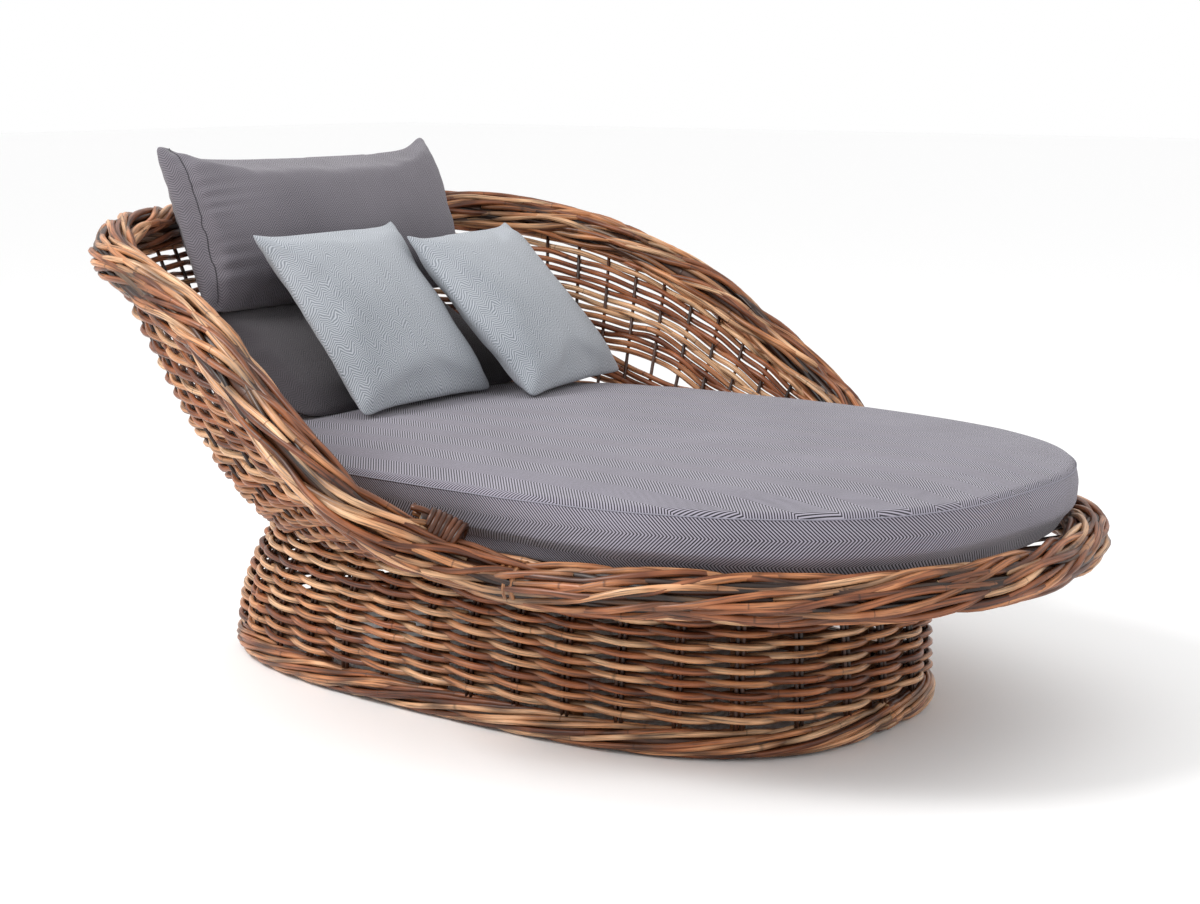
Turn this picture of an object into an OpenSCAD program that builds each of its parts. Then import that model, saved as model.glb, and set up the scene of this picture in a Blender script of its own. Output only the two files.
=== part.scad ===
// Woven rattan sun lounger for one or two people.
// An oval basket base is woven on paired stakes, round a rattan pole frame.
// Above its waist the stakes fan out into a shallow tray at the foot end
// and into a raised wall, the wings, round the head end.
// The foot end is +X, the head end is -X and the floor is z = 0.

/* [Overall] */
// Length over the rim at the foot and the hoop at the head
overall_l = 1920; // [1840:10:2000]
// Width of the seat rim between its centrelines, at the knots
rim_w = 1168; // [1130:2:1200]
// Width of the wings between their centrelines, at the widest place
wing_w = 1400; // [1360:5:1440]
// Height of the seat rim's centreline above the floor
rim_z = 330; // [325:1:345]
// Height of the hoop's centreline at the head end
hoop_z = 811; // [790:1:850]

/* [Base] */
// Length of the oval that the base stands on
base_l = 1394; // [1340:2:1430]
// Width of the oval that the base stands on
base_w = 784; // [760:2:800]
// How far the base sits behind the middle of the lounger
base_back = 78; // [60:1:95]
// Length of the oval at the waist, where the tray begins
waist_l = 1242; // [1200:2:1270]
// Width of the oval at the waist
waist_w = 804; // [780:2:820]
// How far the waist sits behind the middle of the lounger
waist_back = 26; // [10:1:40]
// How far the waist lies below the rim's centreline
tray_rise = 58; // [52:1:64]
// Squareness of the base ovals: 2 is an ellipse
base_power = 2.84; // [2.6:0.02:3]
// How late the base flares in towards its waist
flare_power = 1.8; // [1.5:0.1:2.1]

/* [Canes] */
// Number of stake pairs round the base
stake_pairs = 36; // [36:4:40]
// Width and depth of one stake
stake_w = 9; // [8:0.5:10]
// Thickness of a weaver through the wall
weaver_t = 9; // [8:0.5:10]
// Height of a weaver of the base
weaver_h = 13; // [9:0.5:14]
// Height of a widest band of weavers in the raised wall
band_h = 24; // [16:1:26]
// Rows of weavers in the base
base_rows = 9; // [8:1:11]
// Rows of weavers in the raised wall
wall_rows = 9; // [7:1:10]
// Rows of weavers in the foot tray
tray_rows = 4; // [3:1:4]

/* [Rolls] */
// Diameter of the seat rim's roll of canes
rim_roll_d = 84; // [76:1:88]
// Diameter of the hoop's roll of canes
hoop_roll_d = 86; // [78:1:90]
// Thickness of the foot border
foot_roll_t = 42; // [36:1:46]
// Height of the foot border
foot_roll_h = 52; // [44:1:56]
// Side of the pole inside the rolls
core_w = 24; // [20:1:28]
// Diameter of the cane that binds a knot
binding_d = 9; // [8:0.5:10]
// Turns of the cane that binds a knot
binding_turns = 2.5; // [2:0.5:4]

/* [Frame] */
// Width of the bent rings inside the base
ring_w = 26; // [22:1:30]
// Height of the bent rings inside the base
ring_h = 28; // [24:1:30]
// Diameter of an upright
post_d = 28; // [24:1:30]
// Uprights between the two rings
post_count = 12; // [10:2:14]
// Width of a bearer under the deck
bearer_w = 36; // [30:1:40]
// Number of bearers
bearer_count = 5; // [4:1:6]
// Width of a deck slat
slat_w = 56; // [48:1:60]
// Thickness of a deck slat
slat_t = 18; // [15:1:20]
// Number of deck slats
slat_count = 9; // [8:1:9]
// Diameter of a floor glide
glide_d = 22; // [18:1:24]
// How far a floor glide stands proud of the base
glide_t = 3; // [2:0.5:4]
// Number of floor glides
glide_count = 8; // [6:2:10]

/* [Cushions] */
// How much narrower the mattress is than the seat rim
mattress_narrow = 58; // [50:2:88]
// Height of the mattress up to its seam
mattress_h = 106; // [96:1:116]
// Rise of the mattress crown above its seam
mattress_crown = 26; // [18:1:34]
// Squareness of the mattress outline: 2 is an ellipse
mattress_power = 2.52; // [2.4:0.02:2.6]
// Side of a scatter cushion
scatter_w = 450; // [440:5:460]
// Thickness of a scatter cushion at its middle
scatter_t = 118; // [108:2:128]
// Width of the lower back pillow
lower_pillow_w = 700; // [680:5:720]
// Height of the lower back pillow
lower_pillow_h = 350; // [340:5:360]
// Thickness of the lower back pillow at its middle
lower_pillow_t = 105; // [95:5:115]
// Width of the upper back pillow
upper_pillow_w = 730; // [710:5:750]
// Height of the upper back pillow
upper_pillow_h = 340; // [330:5:350]
// Thickness of the upper back pillow at its middle
upper_pillow_t = 170; // [160:5:180]

/* [Hidden] */

// Space left between two pieces that touch
gap = 0.4;

// The outline that carries everything
foot_x = overall_l / 2 - rim_roll_d / 2;
head_x = hoop_roll_d / 2 - overall_l / 2;
waist_z = rim_z - tray_rise;
hoop_rise = hoop_z - rim_z;
foot_z = glide_t + foot_roll_h;

// Border of the tray and wings on its +Y side, from the foot end round to the head end.
// Each row is a share of half the length, of half the rim's or wings' width, and of the rise.
rim_shares = [[0.854, 0.567, 0], [0.557, 0.882, 0], [0.254, 1, 0.01]];
wing_shares = [[0.044, 1, 0.247], [-0.328, 0.946, 0.74], [-0.72, 0.764, 0.983]];
border_side = concat(
    [for (p = rim_shares) [p.x * overall_l / 2, p.y * rim_w / 2, rim_z + p.z * hoop_rise]],
    [for (p = wing_shares) [p.x * overall_l / 2, p.y * wing_w / 2, rim_z + p.z * hoop_rise]]);
border_points = concat([[foot_x, 0, rim_z]], border_side, [[head_x, 0, hoop_z]],
    [for (i = [len(border_side) - 1:-1:0]) [border_side[i].x, -border_side[i].y, border_side[i].z]]);

// A smooth closed curve through a list of points
function curve_at(p, i, t) =
    let (n = len(p), a = p[(i + n - 1) % n], b = p[i], c = p[(i + 1) % n], d = p[(i + 2) % n])
    (2 * b + (c - a) * t + (2 * a - 5 * b + 4 * c - d) * t * t
        + (3 * b - a - 3 * c + d) * t * t * t) / 2;
curve_steps = 10;
border_curve = [for (i = [0:len(border_points) - 1], k = [0:curve_steps - 1])
    curve_at(border_points, i, k / curve_steps)];

// An oval between an ellipse and a rectangle, from its +X end towards +Y
oval_steps = 120;
function power_of(a, e) = sign(a) * pow(abs(a), 2 / e);
function oval(back, l, w, e, z) = [for (k = [0:oval_steps - 1]) let (a = 360 * k / oval_steps)
    [power_of(cos(a), e) * l / 2 - back, power_of(sin(a), e) * w / 2, z]];

// Places at even distances along a closed curve
function lengths(p) = let (n = len(p))
    [for (i = 0, s = 0; i <= n; s = s + norm(p[(i + 1) % n] - p[i % n]), i = i + 1) s];
function table(p, c, k) = [for (i = [0:len(p)]) [c[i], p[i % len(p)][k]]];
function tables(p) = let (c = lengths(p)) [table(p, c, 0), table(p, c, 1), table(p, c, 2), c[len(p)]];
function wrap(s, l) = s - l * floor(s / l);
function place(t, s) = let (w = wrap(s, t[3])) [lookup(w, t[0]), lookup(w, t[1]), lookup(w, t[2])];
function even(p, n) = let (t = tables(p)) [for (k = [0:n - 1]) place(t, t[3] * k / n)];
function unit(v) = v / norm(v);
up = [0, 0, 1];
// An oval of n places, drawn in by inset
function inset_ring(back, l, w, inset, z, n) = let (p = even(oval(back, l, w, base_power, z), n))
    [for (k = [0:n - 1]) let (a = unit(p[(k + 1) % n] - p[k]), b = unit(p[k] - p[(k + n - 1) % n]))
        p[k] + cross(up, unit(a + b)) * inset / sqrt((1 + a * b) / 2)];

// The border, with places along it measured from the foot end
border_table = tables(border_curve);
border_len = border_table[3];
function border_at(s) = place(border_table, s);
frame_step = 4;
function border_dir(s) = unit(border_at(s + frame_step) - border_at(s - frame_step));

// Stakes: pairs in the base, one by one in the tray and the wall
stations = stake_pairs * 2;
function spot(i) = (i + stations) % stations;
seat_ring_inset = stake_w + gap * 2.5;
foot_oval = even(oval(base_back, base_l, base_w, base_power, foot_z), stations);
waist_oval = inset_ring(waist_back, waist_l, waist_w, stake_w / 2, waist_z, stations);
wall_foot_oval = inset_ring(waist_back, waist_l, waist_w, seat_ring_inset - gap * 1.5, waist_z, stations);
border_spots = even(border_curve, stations);
knot_station = 12.5 * stations / 72;
knot_s = border_len * knot_station / stations;
first_wall_station = ceil(knot_station);

// Grid of places up a wall: one list of stations for each level
base_level_shares = [0, 0.5, 1];
base_top_drop = stake_w;
base_top_share = 1 - base_top_drop / (waist_z - foot_z);
base_grid = [for (v = base_level_shares * base_top_share) [for (i = [0:stations - 1])
    let (f = foot_oval[i], w = waist_oval[i], e = pow(v, flare_power))
    [f.x + (w.x - f.x) * e, f.y + (w.y - f.y) * e, foot_z + gap + (waist_z - foot_z - gap) * v]]];

// The wall bellies out at the sides more than at the ends
side_belly_share = 0.52;
end_belly_share = 0.25;
belly_rise_share = 0.1;
wall_level_shares = [0, 0.3, 0.65, 1];
tip_gap = gap * 1.5;
tip_tries = 14;
// Rings of the rolls lie this far apart, so that a straight length strays from a bend by chord_sag
roll_step = 112;
sag_share = 1 / 7;
function chord_sag(s) = sag_share * roll_step
    * norm(border_dir(s + roll_step / 2) - border_dir(s - roll_step / 2));
function belly(w, m, b, v) = w * (1 - v) * (1 - v) + m * 2 * v * (1 - v) + b * v * v;
// The share of a curve at which it is still a distance d from the line through its end b
function tip_at(w, m, b, dir, d, low, high, tries) = let (v = (low + high) / 2)
    tries == 0 ? low :
    norm(cross(belly(w, m, b, v) - b, dir)) > d ? tip_at(w, m, b, dir, d, v, high, tries - 1) :
    tip_at(w, m, b, dir, d, low, v, tries - 1);
function wall_column(i) =
    let (w = wall_foot_oval[i], b = border_spots[i],
        run = abs(unit(w - wall_foot_oval[spot(i - 1)]).x + unit(wall_foot_oval[spot(i + 1)] - w).x) / 2,
        out = end_belly_share + (side_belly_share - end_belly_share) * run,
        m = [w.x + (b.x - w.x) * out, w.y + (b.y - w.y) * out, w.z + (b.z - w.z) * belly_rise_share],
        roll_d = min(i, stations - i) < knot_station ? rim_roll_d : hoop_roll_d,
        s = border_len * i / stations,
        last = tip_at(w, m, b, border_dir(s), roll_d / 2 + tip_gap + chord_sag(s), 0.3, 1, tip_tries))
    [for (v = wall_level_shares * last) belly(w, m, b, v)];
wall_columns = [for (i = [0:stations - 1]) wall_column(i)];
wall_grid = [for (j = [0:len(wall_level_shares) - 1]) [for (i = [0:stations - 1]) wall_columns[i][j]]];

// Places and directions on a grid, at a station and a height counted in levels
function low(g, v) = min(floor(v), len(g) - 2);
function at(g, i, v) = let (j = low(g, v), t = v - j) g[j][spot(i)] * (1 - t) + g[j + 1][spot(i)] * t;
function along(g, i, v) = unit(at(g, i + 1, v) - at(g, i - 1, v));
function rising(g, i, v) = let (j = low(g, v)) unit(g[j + 1][spot(i)] - g[j][spot(i)]);
function outward(g, i, v) = unit(cross(along(g, i, v), rising(g, i, v)));

// How far a weaver stands off the stakes where it passes them, so that it clears their edges
function lean(g, i, k, v, side, off) =
    let (n = outward(g, i, v), t = along(g, i, v),
        d = at(g, i, v) + n * side * off - at(g, k, v) + outward(g, k, v) * side * off)
    side * (d * n) / abs(d * t);
pass_gap = gap * 1.3;
function pass_off(g, i, step, v, side, half, off) =
    let (a = max(0, lean(g, i, i + step, v, side, off), lean(g, i, i - step, v, side, off)))
    stake_w / 2 + weaver_t / 2 * sqrt(1 + a * a) + pass_gap + half * a;
function stand_off(g, i, step, v, side, half) =
    pass_off(g, i, step, v, side, half, pass_off(g, i, step, v, side, half, stake_w * 1.3));

// Solids made from a list of rings with the same number of points
module skin(rings, closed = false) {
    n = len(rings[0]);
    m = len(rings);
    sides = [for (j = [0:(closed ? m - 1 : m - 2)], k = [0:n - 1])
        let (a = j * n + k, b = j * n + (k + 1) % n, c = ((j + 1) % m) * n + (k + 1) % n,
            d = ((j + 1) % m) * n + k)
        each [[a, c, b], [a, d, c]]];
    ends = closed ? [] : [[for (k = [0:n - 1]) k], [for (k = [n - 1:-1:0]) (m - 1) * n + k]];
    polyhedron(points = [for (r = rings) each r], faces = concat(sides, ends), convexity = 10);
}
// A tube wall: outer rings and inner rings, with annular ends
module hollow_skin(outer, inner) {
    n = len(outer[0]);
    q = len(inner[0]);
    m = len(outer);
    o = m * n;
    outside = [for (j = [0:m - 2], k = [0:n - 1])
        let (a = j * n + k, b = j * n + (k + 1) % n, c = (j + 1) * n + (k + 1) % n, d = (j + 1) * n + k)
        each [[a, c, b], [a, d, c]]];
    inside = [for (j = [0:m - 2], k = [0:q - 1])
        let (a = o + j * q + k, b = o + j * q + (k + 1) % q, c = o + (j + 1) * q + (k + 1) % q,
            d = o + (j + 1) * q + k)
        each [[a, b, c], [a, c, d]]];
    r = n / q;
    ends = [for (k = [0:q - 1])
        let (p = o + k, s = o + (k + 1) % q)
        each concat([[p, (k * r + r) % n, s]],
            [for (h = [0:r - 1]) [p, k * r + h, (k * r + h + 1) % n]])];
    far_o = (m - 1) * n;
    far_i = o + (m - 1) * q;
    far_ends = [for (k = [0:q - 1])
        let (p = far_i + k, s = far_i + (k + 1) % q)
        each concat([[p, s, far_o + (k * r + r) % n]],
            [for (h = [0:r - 1]) [p, far_o + (k * r + h + 1) % n, far_o + k * r + h]])];
    polyhedron(points = concat([for (r = outer) each r], [for (r = inner) each r]),
        faces = concat(outside, inside, ends, far_ends), convexity = 10);
}

// A four-sided cane section, square to the row
function cane_ring(c, n, u, t, h) = [c - n * t / 2 - u * h / 2, c + n * t / 2 - u * h / 2,
    c + n * t / 2 + u * h / 2, c - n * t / 2 + u * h / 2];

// One stake up a grid, shifted along its row by shift, with its lower end cut plumb or level
module stake(g, i, shift, plumb) {
    top = len(g) - 1;
    skin([for (j = [0:top])
        let (a = rising(g, i, max(j - 1, 0)), b = rising(g, i, min(j, top - 1)), t = along(g, i, j),
            n = j > 0 ? unit(cross(t, a + b)) : plumb ? -up : unit(cross(t, up)), s = t - n * (t * n))
        [for (q = [[-1, -1], [-1, 1], [1, 1], [1, -1]])
            g[j][spot(i)] + s * (shift + q.x * stake_w / 2) + n * q.y * stake_w / 2]]);
}

// One length of a weaver from one station to another, passing each stake on alternate sides
module weaver(g, first, last, step, v, phase, half, h) {
    marks = [for (i = [first:step:last]) i];
    rings = [for (k = [0:len(marks) - 1])
        let (i = marks[k], side = (round(i / step) + phase) % 2 == 0 ? 1 : -1,
            off = stand_off(g, i, step, v, side, half), n = outward(g, i, v))
        [at(g, i, v) + n * side * off, n, unit(cross(n, along(g, i, v))), h * band_share(g, i, v)]];
    next = [for (i = [first - step, last + step])
        let (side = (round(i / step) + phase + 2 * step) % 2 == 0 ? 1 : -1,
            off = stand_off(g, i, step, v, side, half), n = outward(g, i, v))
        [at(g, i, v) + n * side * off, n, unit(cross(n, along(g, i, v))), h * band_share(g, i, v)]];
    m = len(rings);
    all = concat([cut_end(next[0], rings[0])], rings, [cut_end(next[1], rings[m - 1])]);
    skin([for (r = all) cane_ring(r[0], r[1], r[2], weaver_t, r[3])]);
}
// Space between the butted ends of two weavers
butt_gap = 3;
// A weaver's end, just short of the middle of the bay between two stakes
function cut_end(a, b) = let (d = unit(b[0] - a[0]))
    [(a[0] + b[0]) / 2 + d * butt_gap / 2, unit(a[1] + b[1]), unit(a[2] + b[2]), (a[3] + b[3]) / 2];
// Bands are narrower where the wall is low
row_fill_share = 0.52;
function band_share(g, i, v) = len(g) < len(wall_level_shares) ? 1 :
    min(1, row_fill_share * norm(g[len(g) - 1][spot(i)] - g[0][spot(i)]) / wall_rows / band_h);

// Base
base_levels = len(base_level_shares) - 1;
function base_row_v(r) = base_levels * (0.03 + 0.94 * (r + 0.5) / base_rows);
pair_gap = gap * 4;
pair_shift = stake_w / 2 + pair_gap / 2;
pair_half = stake_w + pair_gap / 2;
module base_weave(first, last) {
    for (r = [0:base_rows - 1])
        weaver(base_grid, first * 2, last * 2, 2, base_row_v(r), r, pair_half, weaver_h);
}
// Pairs at which a length of weaver ends: on the foot end, past its corner, and the same at the head
end_last = round(stake_pairs / 18);
corner_last = round(stake_pairs / 7.2);
side_last = stake_pairs / 2 - corner_last - 1;
module base_end_weave(middle) {
    base_weave(middle - corner_last, middle - end_last - 1);
    base_weave(middle - end_last, middle + end_last);
    base_weave(middle + end_last + 1, middle + corner_last);
}

module base_stakes() {
    color("#8a5230") for (j = [0:stake_pairs - 1], side = [-1, 1])
        stake(base_grid, 2 * j, side * pair_shift, false);
}
module base_weave_foot() { color("#a8663c") base_end_weave(0); }
module base_weave_left() { color("#b06c40") base_weave(corner_last + 1, side_last); }
module base_weave_head() { color("#a8663c") base_end_weave(stake_pairs / 2); }
module base_weave_right() {
    color("#b06c40") base_weave(stake_pairs - side_last, stake_pairs - corner_last - 1);
}

// Lobed section of a roll of canes, turning slowly along its length
lobes = 6;
lobe_share = 0.9;
lobe_turn = 0.18;
function roll_ring(c, a, b, ra, rb, s) = [for (k = [0:lobes * 2 - 1])
    let (w = 360 * k / (lobes * 2) + s * lobe_turn, f = k % 2 == 0 ? 1 : lobe_share)
    c + a * ra * f * cos(w) + b * rb * f * sin(w)];
function core_ring(c, a, b, w, s) = [for (k = [0:3]) let (t = 360 * k / 4 + s * lobe_turn)
    c + (a * cos(t) + b * sin(t)) * w / sqrt(2)];
function stops(from, to) = let (n = ceil((to - from) / roll_step))
    [for (k = [0:n]) from + (to - from) * k / n];
function side_dir(s) = unit(cross(border_dir(s), up));
function top_dir(s) = cross(side_dir(s), border_dir(s));
module border_roll(from, to, d) {
    list = stops(from, to);
    hollow_skin([for (s = list) roll_ring(border_at(s), top_dir(s), side_dir(s), d / 2, d / 2, s - from)],
        [for (s = list) core_ring(border_at(s), top_dir(s), side_dir(s), core_w + gap * 2, s - from)]);
}
module border_pole(from, to, start) {
    list = stops(from, to);
    skin([for (s = list) core_ring(border_at(s), top_dir(s), side_dir(s), core_w, s - start)]);
}
module seat_rim() { color("#b87446") border_roll(gap / 2 - knot_s, knot_s - gap / 2, rim_roll_d); }
module back_hoop() {
    color("#b87446") border_roll(knot_s + gap / 2, border_len - knot_s - gap / 2, hoop_roll_d);
}
module rim_pole() { color("#d9b48a") border_pole(gap - knot_s, knot_s - gap, gap / 2 - knot_s); }
module hoop_pole() {
    color("#d9b48a") border_pole(knot_s + gap, border_len - knot_s - gap, knot_s + gap / 2);
}

// Foot border: a flat roll all round, under the ends of the stakes
module foot_border() {
    mid = foot_z - foot_roll_h / 2;
    n = stake_pairs;
    ring = even(oval(base_back, base_l, base_w, base_power, mid), n);
    color("#9c5c36") skin([for (k = [0:n - 1])
        let (d = unit(ring[(k + 1) % n] - ring[(k + n - 1) % n]), a = cross(d, up))
        [for (h = [0:7]) let (w = 360 * (h + 0.5) / 8, r = 1 / cos(180 / 8))
            ring[k] + a * r * cos(w) * foot_roll_t / 2 + up * r * sin(w) * foot_roll_h / 2]], true);
}

// Knot binding: one cane wound round the place where the rim meets the hoop
binding_steps = 24;
binding_gap = 0.8;
binding_pitch = binding_d + binding_gap;
binding_seat = gap * 6;
binding_inside = max(rim_roll_d, hoop_roll_d) / 2 + binding_seat;
binding_r = (binding_inside + binding_d / 2 * cos(30)) / cos(180 / binding_steps);
function binding_path(s) = let (t = border_dir(s), a = side_dir(s), b = top_dir(s),
        n = binding_turns * binding_steps,
        turns = [for (k = [0:n]) let (w = 360 * k / binding_steps)
            border_at(s) + (a * cos(w) + b * sin(w)) * binding_r
                + t * binding_pitch * (k / binding_steps - binding_turns / 2)])
    concat([turns[0] + unit(turns[0] - turns[1]) * binding_d], turns,
        [turns[n] + unit(turns[n] - turns[n - 1]) * binding_d]);
function least_gap(p) = min([for (i = [0:len(p) - 1], k = [i + round(binding_steps / 2):1:len(p) - 1])
    norm(p[k] - p[i])]) - binding_d;
module knot_binding(s) {
    path = binding_path(s);
    m = len(path) - 1;
    echo(knot_binding_least_gap = least_gap(path));
    skin([for (k = [0:m])
        let (d = unit(path[min(k + 1, m)] - path[max(k - 1, 0)]), to = path[k] - border_at(s),
            o = unit(to - d * (to * d)), e = cross(o, d))
        [for (h = [0:5]) path[k] + (o * sin(60 * h) + e * cos(60 * h)) * binding_d / 2]]);
}
module knot_binding_left() { color("#c98a5a") knot_binding(knot_s); }
module knot_binding_right() { color("#c98a5a") knot_binding(-knot_s); }

// Tray and raised wall
wall_levels = len(wall_level_shares) - 1;
last_wall_station = stations - first_wall_station;
head_rises = [for (j = 0, s = 0; j <= wall_levels; s = s + norm(at(wall_grid, stations / 2, j + 1)
    - at(wall_grid, stations / 2, j)), j = j + 1) s];
head_levels = [for (j = [0:wall_levels]) [head_rises[j] / head_rises[wall_levels], j]];
function wall_row_v(r) = lookup(0.04 + 0.85 * (r + 0.5) / wall_rows, head_levels);
function tray_row_v(r) = lookup(0.04 + 0.9 * (r + 0.5) / tray_rows, head_levels);
// Every second row of the upper half stops short of the knot, where the rows crowd together
function knot_skip(r) = r > wall_rows / 2 && r % 2 == 0 ? 5 : 0;
module wall_weave(first, last) {
    for (r = [0:wall_rows - 1])
        weaver(wall_grid, max(first, first_wall_station + knot_skip(r)),
            min(last, last_wall_station - knot_skip(r)), 1, wall_row_v(r), r, stake_w / 2, band_h);
}
back_split = round(stations / 2 - stations / 16);
wing_lengths = 3;
function wing_first(k) = round(first_wall_station + (back_split - first_wall_station) * k / wing_lengths);
module wing_weave_left() {
    color("#b06c40") for (k = [0:wing_lengths - 1]) wall_weave(wing_first(k), wing_first(k + 1) - 1);
}
module back_weave() { color("#a8663c") wall_weave(back_split, stations - back_split); }
module wing_weave_right() {
    color("#b06c40") for (k = [0:wing_lengths - 1])
        wall_weave(stations - wing_first(k + 1) + 1, stations - wing_first(k));
}
tray_lengths = 5;
function tray_first(k) = round((2 * first_wall_station - 1) * k / tray_lengths) - first_wall_station + 1;
module tray_weave() {
    color("#9c5c36") for (r = [0:tray_rows - 1], k = [0:tray_lengths - 1])
        weaver(wall_grid, tray_first(k), tray_first(k + 1) - 1, 1, tray_row_v(r), r, stake_w / 2, weaver_h);
}
module tray_stakes() {
    color("#8a5230") for (i = [1 - first_wall_station:first_wall_station - 1]) stake(wall_grid, i, 0, true);
}
module wall_stakes() {
    color("#8a5230") for (i = [first_wall_station:last_wall_station]) stake(wall_grid, i, 0, true);
}

// Frame inside the base
function ring_outline(back, l, w, inset) =
    [for (p = inset_ring(back, l, w, inset, 0, stake_pairs)) [p.x, p.y]];
module bent_ring(back, l, w, inset) {
    linear_extrude(ring_h) difference() {
        polygon(ring_outline(back, l, w, inset));
        polygon(ring_outline(back, l, w, inset + ring_w));
    }
}
bottom_inset = foot_roll_t / 2 + gap;
module bottom_ring() {
    color("#d9b48a") translate([0, 0, glide_t]) bent_ring(base_back, base_l, base_w, bottom_inset);
}
seat_ring_top = waist_z + ring_h / 2;
module seat_ring() {
    color("#d9b48a") translate([0, 0, seat_ring_top - ring_h])
        bent_ring(waist_back, waist_l, waist_w, seat_ring_inset);
}
// How far the weavers reach inwards from the middle of the stakes
weave_depth = stake_w / 2 + weaver_t + gap * 2 + pair_half * 0.3;
// Uprights: bent poles that follow the wall on its inside, from ring to ring
post_sides = 6;
post_rise_shares = [0, 0.5, 1];
module posts() {
    foot = glide_t + ring_h + gap;
    top = seat_ring_top - ring_h - gap;
    color("#d9b48a") for (k = [0:post_count - 1])
        let (m = 2 * round(k * stake_pairs / post_count))
        skin([for (share = post_rise_shares)
            let (z = foot + (top - foot) * share, v = base_levels * max(0, (z - foot_z) / (waist_z - foot_z)),
                c = at(base_grid, m, v) - outward(base_grid, m, v) * (stake_w / 2 + weave_depth + post_d / 2))
            [for (h = [0:post_sides - 1]) let (w = 360 * h / post_sides)
                [c.x + cos(w) * post_d / 2, c.y + sin(w) * post_d / 2, z]]]);
}
deck_rise = 16;
deck_top = rim_z + deck_rise;
bearer_h = deck_top - slat_t - gap - seat_ring_top - gap;
deck_span_share = 0.8;
deck_spread_share = 0.88;
deck_l = waist_l - 2 * seat_ring_inset;
deck_w = waist_w - 2 * seat_ring_inset;
function oval_reach(a, b, e, y) = a * pow(1 - pow(abs(y) / b, e), 1 / e);
bearer_span = deck_l * deck_span_share;
module bearers() {
    color("#cfa377") for (k = [0:bearer_count - 1])
        let (x = bearer_span * (k / (bearer_count - 1) - 0.5),
            y = oval_reach(deck_w / 2, deck_l / 2, base_power, abs(x) + bearer_w / 2))
        translate([x - waist_back - bearer_w / 2, -y, seat_ring_top + gap]) cube([bearer_w, 2 * y, bearer_h]);
}
slat_span = deck_w * deck_spread_share - slat_w;
module deck_slats() {
    color("#e0bd92") for (k = [0:slat_count - 1])
        let (y = slat_span * (k / (slat_count - 1) - 0.5),
            x = oval_reach(deck_l / 2, deck_w / 2, base_power, abs(y) + slat_w / 2))
        translate([-x - waist_back, y - slat_w / 2, deck_top - slat_t]) cube([2 * x, slat_w, slat_t]);
}
module floor_glides() {
    places = inset_ring(base_back, base_l, base_w, bottom_inset + ring_w / 2, 0, stake_pairs);
    color("#3a3632") for (k = [0:glide_count - 1])
        let (p = places[round((k + 0.5) * stake_pairs / glide_count)])
        translate([p.x, p.y, 0]) cylinder(h = glide_t - gap / 2, d = glide_d);
}

// Mattress: it lies over the rim at the foot end with a full side, and is drawn in towards the back
mattress_lap = 16;
mattress_foot = foot_x - rim_roll_d / 2 + mattress_lap;
// How far its head end lies on the way from the waist to the hoop
mattress_head_share = 0.226;
waist_head = -waist_l / 2 - waist_back;
mattress_head = waist_head + (head_x - waist_head) * mattress_head_share;
mattress_l = mattress_foot - mattress_head;
mattress_w = rim_w - mattress_narrow;
mattress_x = (mattress_foot + mattress_head) / 2;
mattress_z = deck_top + gap;
seam_z = mattress_z + mattress_h;
mattress_n = 44;
mattress_levels = [mattress_z, rim_z + rim_roll_d / 2, seam_z, seam_z + mattress_crown];
// Each row is an inset at the head end and one at the foot end, as shares of the tuck inside the wall,
// and a height counted in levels
mattress_tuck = 42;
mattress_side_shares = [[1.52, 0.82, 0], [1.1, 0.64, 0.24], [1, 0.3, 1.04], [0.4, -0.06, 1.25],
    [0.1, -0.12, 1.68], [0, 0, 2], [0.19, 0.19, 2.35], [1.43, 1.43, 2.66], [5.24, 5.24, 2.94]];
// Where the side changes from one to the other, as shares of the length from its middle
mattress_change_shares = [0.0, 0.24];
function side_height(level) = let (j = min(floor(level), 2), t = level - j)
    mattress_levels[j] * (1 - t) + mattress_levels[j + 1] * t;
function side_ring(inset, z) = even(oval(-mattress_x, mattress_l - 2 * inset, mattress_w - 2 * inset,
    mattress_power, z), mattress_n);
function foot_share(x) = let (r = mattress_change_shares,
    s = max(0, min(1, ((x - mattress_x) / mattress_l - r[0]) / (r[1] - r[0])))) s * s * (3 - 2 * s);
function side_row(p) = let (z = side_height(p.z), head = side_ring(p.x * mattress_tuck, z),
    foot = side_ring(p.y * mattress_tuck, z))
    [for (i = [0:mattress_n - 1]) head[i] + (foot[i] - head[i]) * foot_share(head[i].x)];
module mattress() {
    color("#77727a") skin([for (p = mattress_side_shares) side_row(p)]);
}

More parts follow.
